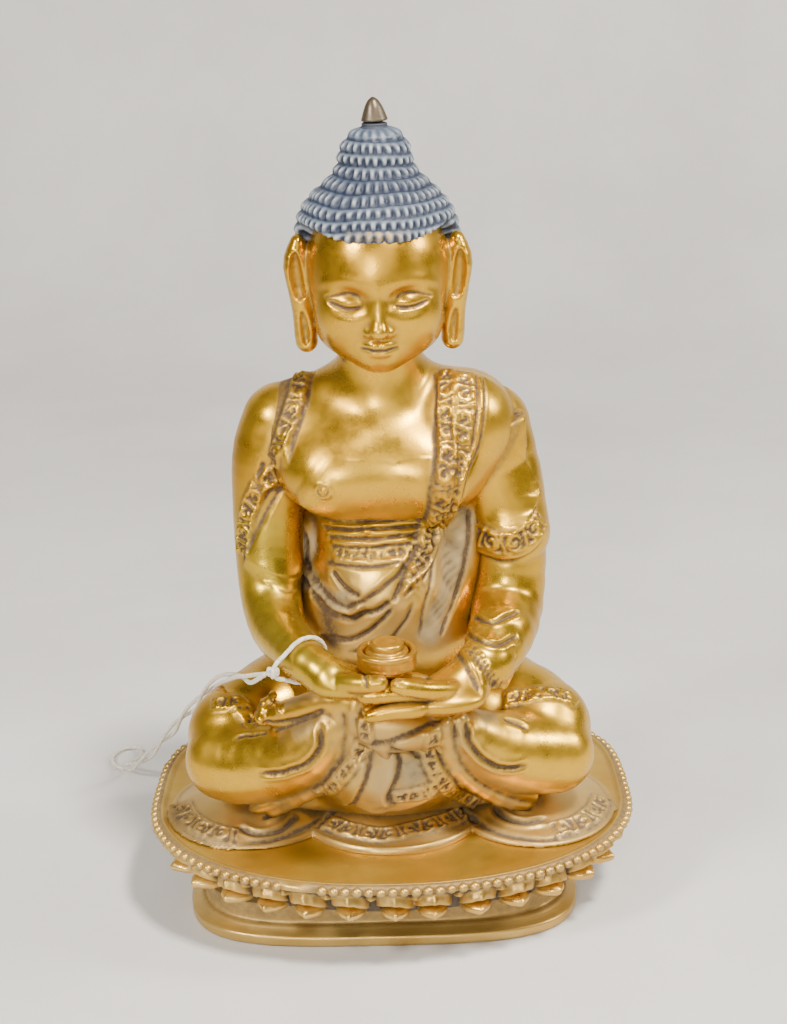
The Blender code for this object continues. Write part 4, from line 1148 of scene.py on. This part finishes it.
def build_left_arm():
    s = Sculpt(left_arm_field, (-11, -48.5, 66), (42, 13, 138), 0.42)
    s.band([(19.4, 107.4), (23.0, 104.3), (28.3, 102.7), (33.2, 104.4), (37.6, 109.3)], 2.35, 0.55, 5.8)
    s.stroke([(19.6, 103.4), (23.4, 100.6), (28.6, 99.3), (33.8, 100.8), (37.9, 105.4)], 0.75, 0.55, 1.0,
            0.0, -0.2)
    s.edge([(33.5, 134.5), (31.6, 134.1), (25.6, 129.7), (19.4, 120.1), (17.0, 114.0)], 1.3, 1, 0.25, 8.0,
            0.9)
    s.stroke([(33.5, 134.9), (31.0, 135.2), (25.2, 130.9), (18.8, 121.0)], 0.5, 0.5, 1.5)
    for route in (
        [(20.0, 85.0), (23.4, 83.7), (26.7, 83.6), (32.5, 86.2)],
        [(17.9, 81.2), (20.9, 79.1), (25.0, 77.5), (28.4, 77.9), (32.0, 79.8)],
    ):
        s.stroke(route, 0.6, -0.5, 2.0, grime_and_shade=0.55, lip=0.2)
    s.edge([(14.6, 77.2), (16.6, 75.9), (18.6, 73.4), (20.2, 70.3), (21.6, 67.3), (22.9, 64.4)], 0.8, 1,
            0.3, 6.0, 0.9)
    for n in range(9):
        x, z = 18.4 + 0.82 * n, 75.6 - 1.2 * n
        s.stroke([(x, z + 0.4), (x + 3.1, z - 1.1)], 0.24, -0.30, 0.3, grime_and_shade=0.6)
        s.stroke([(x + 2.9, z + 1.6), (x + 0.9, z - 1.9)], 0.24, -0.30, 0.3, grime_and_shade=0.6)
    s.ring((2.6, 68.9), 1.0, 0.28, 0.3, 0.5)
    s.mark("green", [(27.0, 96.0), (26.5, 86.0), (24.0, 76.0)], 7.0, 0.5)
    s.contact(torso_field, 0.6, 0.5)
    s.contact(legs_field, 0.9, 0.7)
    s.contact(right_arm_field, 0.7, 0.8)
    return s


# ---------------------------------------------------------------- head

HEAD_TILT = ("X", 5.0)
HEAD_PIVOT = np.array([0, -2, 146], np.float32)
HEAD_ORIGIN = np.array([0, 0, 162], np.float32)


def to_head(p):
    """Figure-frame points in the head's upright frame, whose origin is between the eyes."""
    turn = np.array(Matrix.Rotation(math.radians(HEAD_TILT[1]), 3, HEAD_TILT[0]), np.float32)
    return (p - HEAD_PIVOT) @ turn + HEAD_PIVOT - HEAD_ORIGIN


def from_head(points):
    turn = np.array(Matrix.Rotation(math.radians(HEAD_TILT[1]), 3, HEAD_TILT[0]))
    return (np.asarray(points, float) + HEAD_ORIGIN - HEAD_PIVOT) @ turn.T + HEAD_PIVOT


def head_field(p):
    q = to_head(p)
    h = q.copy()
    h[:, 0] = np.abs(q[:, 0])
    parts = [(ball(q, (0, 0, 6), (16.8, 17.5, 16)), 0), (ball(q, (0, -4, -3), (14.4, 13.8, 15)), 5.0)]
    parts += [(ball(h, (7.6, -9.6, -4.8), (6.2, 6, 6.5)), 4.0), (ball(q, (0, -12.2, -13.0),
            (4.4, 3.9, 3.4)), 4.0)]
    parts += [(rod(h, (9, -5, -9), (1, -12, -12.6), 5, 4), 4.0)]
    parts += [(rod(q, (0, 0, -24), (0, 1, -8), 9.7, 9.7), 3.0)]
    face = blend_all(parts)
    face = smooth_max(face, -ball(h, (6.4, -17.6, 1.0), (4.6, 2.7, 2.9), ("Z", 14.0)), 2.6)
    face = smooth_min(face, ball(h, (6.7, -12.4, -0.2), (4.1, 3.5, 2.5), ("Z", 14.0)), 0.7)
    brow = limb(h, ((1.2, -15.9, 2.6, 0.7), (4.6, -15.6, 5.0, 0.8), (8.6, -13.9, 5.2, 0.8),
            (12.6, -10.4, 3.2, 0.5)))
    face = smooth_min(face, brow, 1.5)
    nose = rod(q, (0, -15.4, 2.8), (0, -18.6, -5.4), 1.15, 1.7)
    nose = smooth_min(nose, ball(q, (0, -18.9, -6.1), (2.0, 1.8, 1.7)), 1.0)
    nose = smooth_min(nose, ball(h, (2.1, -17.2, -6.6), (1.3, 1.6, 1.2)), 0.9)
    face = smooth_min(face, nose, 1.5)
    face = smooth_min(face, ball(q, (0, -15.0, -10.6), (4.4, 2.0, 2.5)), 1.8)
    upper = limb(h, ((0.0, -17.2, -10.0, 0.75), (1.5, -17.1, -9.6, 0.85), (4.1, -15.4, -10.1, 0.35)))
    lower = limb(h, ((0.0, -17.0, -11.55, 1.0), (2.0, -16.5, -11.3, 0.85), (3.8, -15.3, -10.6, 0.3)))
    face = smooth_min(face, upper, 0.35)
    face = smooth_min(face, lower, 0.3)
    e = h * np.array([1, 0.72, 1], np.float32)
    ear = limb(e, ((18.6, -1.0, 11.0, 1.7), (19.3, -1.2, 6.0, 2.7), (18.5, -1.2, 0.0, 2.7),
            (17.8, -1.2, -6.0, 2.5), (17.3, -1.4, -13.0, 2.7)), 3, 0.6)
    ear = smooth_min(ear, rod(e, (16.0, -0.5, 8.0), (16.2, -0.5, -3.0), 1.7, 1.7), 2.0)
    ear = smooth_max(ear, -limb(e, ((19.2, -3.4, 8.6, 0.7), (19.1, -3.9, 4.0, 1.4),
            (18.4, -3.9, -1.0, 1.2))), 0.5)
    ear = smooth_max(ear, -limb(e, ((18.0, -3.9, -5.5, 0.6), (17.5, -4.1, -9.5, 0.9),
            (17.4, -3.9, -12.5, 0.5))), 0.5)
    return smooth_min(face, ear, 1.0)


def build_head():
    s = Sculpt(head_field, (-22.8, -25, 139), (22.8, 20, 182), 0.34, 1.0)
    for side in (-1, 1):
        def at(*points):
            return [tuple(from_head((side * x, y, z))) for x, y, z in points]
        lash_line = at((2.8, -14.6, -0.7), (4.8, -15.8, -1.2), (7.2, -15.6, -1.3), (9.6, -14.0, -0.7),
                       (11.0, -12.6, 0.1))
        s.stroke(lash_line, 0.36, -0.55, 1.2, grime_and_shade=0.7)
        lid_fold = at((3.2, -14.4, 1.0), (5.2, -15.6, 2.0), (7.6, -15.2, 2.1), (10.2, -13.0, 1.2),
                      (11.8, -11.6, 0.2))
        s.stroke(lid_fold, 0.38, -0.30, 1.5, grime_and_shade=0.35)
        s.stroke(at((4.2, -15.2, -2.3), (7.0, -15.2, -2.6), (9.8, -13.4, -1.9)), 0.4, 0.18, 1.5)
    lip_line = ((-4.4, -15.4, -10.35), (-2.0, -17.0, -10.6), (0, -17.6, -10.75), (2.0, -17.0, -10.6),
                (4.4, -15.4, -10.35))
    s.stroke([tuple(from_head(p)) for p in lip_line], 0.33, -0.35, 0.8, grime_and_shade=0.6)
    return s


# ---------------------------------------------------------------- hair

def hair_solid(p):
    dome = ball(p, (0, 1.5, 173), (18.9, 19.5, 16))
    dome = smooth_min(dome, ball(p, (0, 8, 166), (16.5, 13.5, 14)), 4.0)
    bump = rod(p, (0, 2, 184), (0, 2, 190.0), 10.6, 8.4)
    return smooth_min(dome, bump, 2.5)


def hair_field(p):
    shape = hair_solid(p)
    back = np.clip((p[:, 1] + 5.0) / 8.0, 0, 1)
    line = HAIRLINE - back * back * (3 - 2 * back) * 18.0 + 0.012 * p[:, 0] ** 2 * (1 - back)
    return np.maximum(shape, (line - p[:, 2]) * 0.8)


TIER_HEIGHT = 2.6
CURL_WIDTH = 2.2
HAIRLINE = 174.3
TEMPLE_CURLS_FROM = 155.5
PLAIN_TOP = 195.8
CROWN_CREASE = 185.5


def build_hair():
    """Stacked tiers of small curls: a rounded roll per tier, with dark pits between its knobs."""
    s = Sculpt(hair_field, (-21, -21, 154), (21, 24, 201), 0.33)
    on_cap = np.clip(1.0 - np.abs(hair_solid(s.verts.astype(np.float32))) / 0.5, 0, 1)
    x, y, z = s.verts.T
    on_cap = np.maximum(on_cap, np.clip((y + 7.0) / 1.5, 0, 1) * (z > TEMPLE_CURLS_FROM))
    angle = np.arctan2(x, -(y - 1.6))
    level = z + 0.55 * random_waves(x, y, z, 31, 6.0, 3)
    tier = (level - HAIRLINE) / TIER_HEIGHT
    row = np.floor(tier)
    rise = tier - row
    radius = np.hypot(x, y - 1.6)
    row_radius = {}
    for number in np.unique(row):
        chosen = row == number
        row_radius[number] = np.median(radius[chosen])
    circle = np.vectorize(row_radius.get)(row) * 2 * np.pi
    knobs = np.maximum(np.round(circle / CURL_WIDTH), 4)
    jitter = 0.30 * random_waves(x, y, z, 32, 3.4, 3)
    turn = angle / (2 * np.pi) * knobs + 0.5 * (row % 2) + jitter
    bead = 0.5 + 0.5 * np.cos(2 * np.pi * turn)
    roll = np.sin(np.pi * np.clip(rise, 0, 1)) ** 0.65
    pit = (1 - bead) ** 1.3 * np.exp(-((rise - 0.36) / 0.30) ** 2)
    pit = np.where(z > PLAIN_TOP, 0.15 * pit, pit)
    s.height += on_cap * (0.62 * roll - 0.85 * pit + 0.26 * bead * np.exp(-((rise - 0.38) / 0.22) ** 2))
    s.height += 0.20 * random_waves(x, y, z, 33, 1.7, 3)
    base = np.exp(-((z - CROWN_CREASE) / 2.6) ** 2)
    # Painted shade in the pits, between the rolls and along the crown crease.
    s.marks["grime_and_shade"] += on_cap * np.clip(1.6 * pit - 0.1 + 0.85 * (1 - roll) + 0.35 * base, 0, 1)
    s.marks["bare"] = np.clip(1.2 - np.abs(x) / 7.0, 0, 1) * (y < -5) * (row < 1) * bead * (rise > 0.2)
    return s


# ---------------------------------------------------------------- turned pieces

def turned(name, centre, profile, columns=64, grime_and_shade=0.3, wobble=0.0, seed=1, tilt=0.0):
    """A body of revolution about Z from its (radius, z) profile, with slight hand-made unevenness."""
    rows = np.array(profile, float)
    phi = np.linspace(0, 2 * np.pi, columns, endpoint=False)
    x, y = rows[:, :1] * np.cos(phi), rows[:, :1] * np.sin(phi)
    z = np.repeat(rows[:, 1:], columns, axis=1)
    uneven = 1 + wobble * random_waves(x, y, z, seed, 2.5)
    verts = np.stack([x * uneven, y * uneven, z], axis=-1).reshape(-1, 3)
    if tilt:
        base = np.array([0, 0, rows[:, 1].min()])
        verts = (verts - base) @ np.array(Matrix.Rotation(math.radians(tilt), 3, "Y")).T + base
    verts += np.array([centre[0], centre[1], 0.0])
    faces = strip_faces(len(rows), columns)
    last = (len(rows) - 1) * columns
    caps = [list(range(columns))[::-1], list(range(last, last + columns))]
    # Painted shade in the profile's hollows, over an even darkening.
    shade = np.clip(curvature(verts, faces, 6.0), 0, 1) * grime_and_shade * 2 + grime_and_shade * 0.3
    return piece_from(name, verts, faces, extra=caps, attributes={"grime_and_shade": np.clip(shade, 0, 1)})


def build_bowl():
    profile = dense_profile([(0.3, 78.5), (3.6, 78.5), (5.2, 78.7), (5.5, 79.0), (5.6, 79.3), (6.4, 79.5),
            (6.85, 79.75), (7.05, 80.2), (7.0, 80.6), (6.9, 80.9), (6.95, 82.6), (7.1, 83.0),
            (7.05, 83.6), (6.8, 83.95), (6.4, 84.08), (6.0, 84.0), (5.6, 83.6), (5.45, 82.6),
            (5.4, 80.3), (4.6, 80.0), (0.3, 79.95),], 0.25)
    return turned("bowl_body", (0.0, -42.0), profile, grime_and_shade=0.5, wobble=0.008, seed=4)


def build_offering():
    profile = dense_profile([(0.3, 80.5), (4.6, 80.5), (5.0, 80.9), (5.05, 83.2), (4.9, 83.6),
            (4.3, 83.8), (4.05, 84.1), (4.0, 85.2), (3.8, 85.6), (3.3, 85.85), (2.7, 85.75), (2.3, 85.6),
            (1.4, 85.75), (0.3, 85.8),], 0.22)
    return turned("bowl_offering_disc", (0.0, -42.0), profile, columns=48, grime_and_shade=0.4, wobble=0.01, seed=6)


def finial_centre():
    low, high = box_mm("finial_jewel")
    return (low[0] + high[0]) / 2, (low[1] + high[1]) / 2


def build_finial_bell():
    profile = smooth_path([(0.3, 199.5), (2.3, 199.5), (3.1, 199.7), (2.9, 200.5), (2.45, 201.8),
            (1.9, 203.1), (1.15, 204.3), (0.3, 204.95),], 40)
    return turned("finial_bell", finial_centre(), profile, columns=40, grime_and_shade=0.2, wobble=0.02, seed=2,
            tilt=-3.0)


def build_finial_seat():
    profile = smooth_path([(0.3, 197.3), (2.2, 197.3), (3.2, 197.6), (3.3, 198.1), (2.9, 198.5),
            (3.0, 198.9), (2.4, 199.2), (0.3, 199.2),], 30)
    return turned("finial_seat", finial_centre(), profile, columns=40, grime_and_shade=0.9, wobble=0.05, seed=3)


# ---------------------------------------------------------------- assembly

def place(obj, nodes, body, material):
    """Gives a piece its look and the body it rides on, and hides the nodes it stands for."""
    obj.data.materials.append(material)
    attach(obj, body)
    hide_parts(*nodes)
    return obj


WRIST_RING_CENTRE = np.array([-19.4, -36.6, 79.2])
WRIST_DIRECTION = np.array([9.3, -13.2, -2.0])
WRIST_CLEARANCE = 0.5
KNOT_SIZE = 0.75


def wrist_ring_line(knot):
    """A ring that hugs the wrist and swings out to the knot."""
    axis = unit(WRIST_DIRECTION)
    side = unit(np.cross(axis, (0, 0, 1)))
    up = np.cross(side, axis)
    angle = np.linspace(0, 2 * np.pi, 48, endpoint=False)[:, None]
    spokes = side * np.cos(angle) + up * np.sin(angle)
    trial = np.arange(3.0, 9.0, 0.05)
    probes = WRIST_RING_CENTRE - FIGURE_SHIFT + trial[None, :, None] * spokes[:, None, :]
    depth = right_arm_field(probes.reshape(-1, 3).astype(np.float32)).reshape(len(angle), -1)
    hug = trial[(depth > WRIST_CLEARANCE).argmax(1)]
    hug = np.convolve(np.r_[hug[-2:], hug, hug[:2]], np.ones(5) / 5, "valid")[:, None]
    offset = knot - WRIST_RING_CENTRE
    across = np.array([offset @ side, offset @ up])
    toward = math.atan2(across[1], across[0])
    gap = np.abs((angle - toward + np.pi) % (2 * np.pi) - np.pi)
    near = np.exp(-(gap / 0.45) ** 2)
    reach = hug + (np.hypot(*across) - hug) * near
    return WRIST_RING_CENTRE + reach * spokes + (offset @ axis) * near * axis


def knot_line(middle):
    """A trefoil, for the pulled-tight knot."""
    t = np.linspace(0, 2 * np.pi, 60)
    rows = (np.sin(t) + 0.6 * np.sin(2 * t), np.cos(t) - 0.6 * np.cos(2 * t), -np.sin(3 * t))
    return KNOT_SIZE * np.stack(rows, axis=1) + middle


def build_string(cotton):
    first, second = twisted_strands(STRING_ROUTE, 32)
    loop = smooth_path([tuple(first[-1])] + list(LOOP_ROUTE) + [tuple(second[-1])], 11)[1:-1]
    line = np.vstack([first, loop, second[::-1]])
    string = yarn_mesh("tag_string", line, STRING_DIAMETER)
    low, high = box_mm("string_knot")
    middle = (low + high) / 2
    ring = yarn_mesh("wrist_loop", wrist_ring_line(middle), STRING_DIAMETER, closed=True)
    knot = yarn_mesh("string_knot_tied", knot_line(middle), STRING_DIAMETER * 0.95)
    for obj, nodes in ((string, ["string_main"]), (ring, ["string_wrist_ring"]), (knot, ["string_knot"])):
        place(obj, nodes, "statue", cotton)


FLOOR_OUTLINE = ((-900, 0), (0, 0), (300, 0), (560, 20), (700, 160), (740, 420), (750, 900))
FLOOR_HALF_WIDTH = 1400
FLOOR_ROWS, FLOOR_COLUMNS = 48, 12


def add_floor():
    """A pale sheet that curves up behind the statue."""
    n = Nodes("pale_floor")
    colour = n.mix(n.ramp(n.noise(9.0, 5.0), 0.35, 0.65), rgb(0.60, 0.585, 0.56), rgb(0.66, 0.645, 0.62))
    n.put(colour, n.shader.inputs["Base Color"])
    n.shader.inputs["Roughness"].default_value = 0.7
    n.put(n.bump(n.noise(700.0, 4.0), 0.08, 0.0003), n.shader.inputs["Normal"])
    across = np.linspace(-FLOOR_HALF_WIDTH, FLOOR_HALF_WIDTH, FLOOR_COLUMNS)
    outline = smooth_path(FLOOR_OUTLINE, FLOOR_ROWS)
    verts = np.array([(x, y, z - 0.02) for y, z in outline for x in across])
    corner = np.arange(FLOOR_ROWS - 1)[:, None] * FLOOR_COLUMNS + np.arange(FLOOR_COLUMNS - 1)[None, :]
    faces = np.stack([corner, corner + 1, corner + FLOOR_COLUMNS + 1, corner + FLOOR_COLUMNS], axis=-1)
    floor = piece_from("floor", verts, faces.reshape(-1, 4))
    floor.data.materials.append(n.material)


LIGHTS = (
    ("key", (0.30, -0.36, 0.95), 0.14, 18.0, (1.0, 0.955, 0.89), 0.09),
    ("second", (-0.50, -0.48, 0.62), 0.14, 7.0, (1.0, 0.96, 0.91), 0.09),
    ("side", (0.70, -0.10, 0.52), 0.14, 4.5, (1.0, 0.96, 0.91), 0.09),
    ("front", (0.15, -1.1, 0.55), 0.7, 2.6, (1.0, 0.98, 0.95), 0.09),
    ("low", (-0.16, -0.72, 0.30), 0.10, 2.6, (1.0, 0.97, 0.92), 0.05),
)


def add_light(name, location, size, energy, colour, target_height):
    data = bpy.data.lights.new(name, "AREA")
    data.size = size
    data.energy = energy
    data.color = colour
    light = bpy.data.objects.new(name, data)
    light.location = location
    aim = Vector((0, 0, target_height)) - Vector(location)
    light.rotation_euler = aim.to_track_quat("-Z", "Y").to_euler()
    bpy.context.scene.collection.objects.link(light)


def add_lights():
    for light in LIGHTS:
        add_light(*light)
    world = bpy.data.worlds.new("soft_room")
    world.use_nodes = True
    background = world.node_tree.nodes["Background"]
    background.inputs["Color"].default_value = rgb(0.80, 0.78, 0.75)
    background.inputs["Strength"].default_value = 0.17
    bpy.context.scene.world = world


# Each kind's polished and warm colours, recess colour (painted shade and residue), roughness, strength of
# recess darkening, dullness and metallic value.
BRASS_KINDS = {
    "polished_brass": (
        (0.66, 0.385, 0.024), (0.54, 0.285, 0.014), (0.105, 0.066, 0.034), 0.29, 1.1, 0.0, 0.9),
    "aged_brass": (
        (0.62, 0.415, 0.12), (0.53, 0.325, 0.075), (0.135, 0.094, 0.055), 0.34, 1.05, 0.03, 0.76),
    "petal_brass": (
        (0.68, 0.45, 0.12), (0.60, 0.36, 0.075), (0.070, 0.050, 0.032), 0.31, 1.25, 0.0, 0.82),
    "deck_brass": (
        (0.60, 0.385, 0.05), (0.52, 0.29, 0.025), (0.15, 0.11, 0.07), 0.38, 1.0, 0.0, 0.78),
    "dark_brass": (
        (0.13, 0.10, 0.065), (0.10, 0.075, 0.045), (0.04, 0.033, 0.026), 0.36, 1.0, 0.0, 0.7),
    "turned_copper": (
        (0.63, 0.37, 0.035), (0.56, 0.285, 0.02), (0.12, 0.078, 0.04), 0.30, 1.0, 0.0, 0.9),
    "collar_paint": (
        (0.05, 0.06, 0.08), (0.03, 0.04, 0.06), (0.02, 0.02, 0.03), 0.5, 1.0, 0.0, 0.3),
}


def assemble():
    looks = {name: brass_material(name, *kind) for name, kind in BRASS_KINDS.items()}
    brass, aged, dark, copper = (looks[key] for key in ("polished_brass", "aged_brass", "dark_brass",
            "turned_copper"))
    build_string(cotton_material())
    add_floor()
    add_lights()
    for piece, node, body, slot, look in (
        (build_foot(), "pedestal_foot", "statue", "aged_brass", aged),
        (build_petals(), "lotus_petals", "statue", "aged_brass", looks["petal_brass"]),
        (build_deck(), "pedestal_deck", "statue", "brass", looks["deck_brass"]),
        (build_beads(), "bead_rim", "statue", "aged_brass", aged),
        (build_hem().finish("hem_cloth"), "robe_hem", "statue", "aged_brass", aged),
        (build_legs().finish("crossed_legs_cloth"), "crossed_legs", "statue", "brass", brass),
        (build_torso().finish("torso_and_robe"), "torso", "statue", "brass", brass),
        (build_right_arm().finish("right_arm_bare"), "right_arm", "statue", "brass", brass),
        (build_left_arm().finish("left_arm_sleeve"), "left_arm", "statue", "brass", brass),
        (build_head().finish("head_face"), "head", "statue", "brass", brass),
        (build_hair().finish("hair_curls", 0.6), "hair", "statue", "hair_paint", hair_material()),
        (build_finial_bell(), "finial_jewel", "statue", "aged_brass", dark),
        (build_finial_seat(), "finial_collar", "statue", "aged_brass", looks["collar_paint"]),
        (build_bowl(), "alms_bowl", "bowl", "copper", copper),
        (build_offering(), "bowl_offering", "bowl", "copper", copper),
    ):
        place(piece, [node], body, look)
    for hidden, look in (
        ("base_plate", copper), ("fixing_pin_right", dark), ("fixing_pin_left", dark), ("neck_spigot", dark),
    ):
        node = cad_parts[hidden]
        node.data.materials.clear()
        node.data.materials.append(look)


add_camera()
assemble()
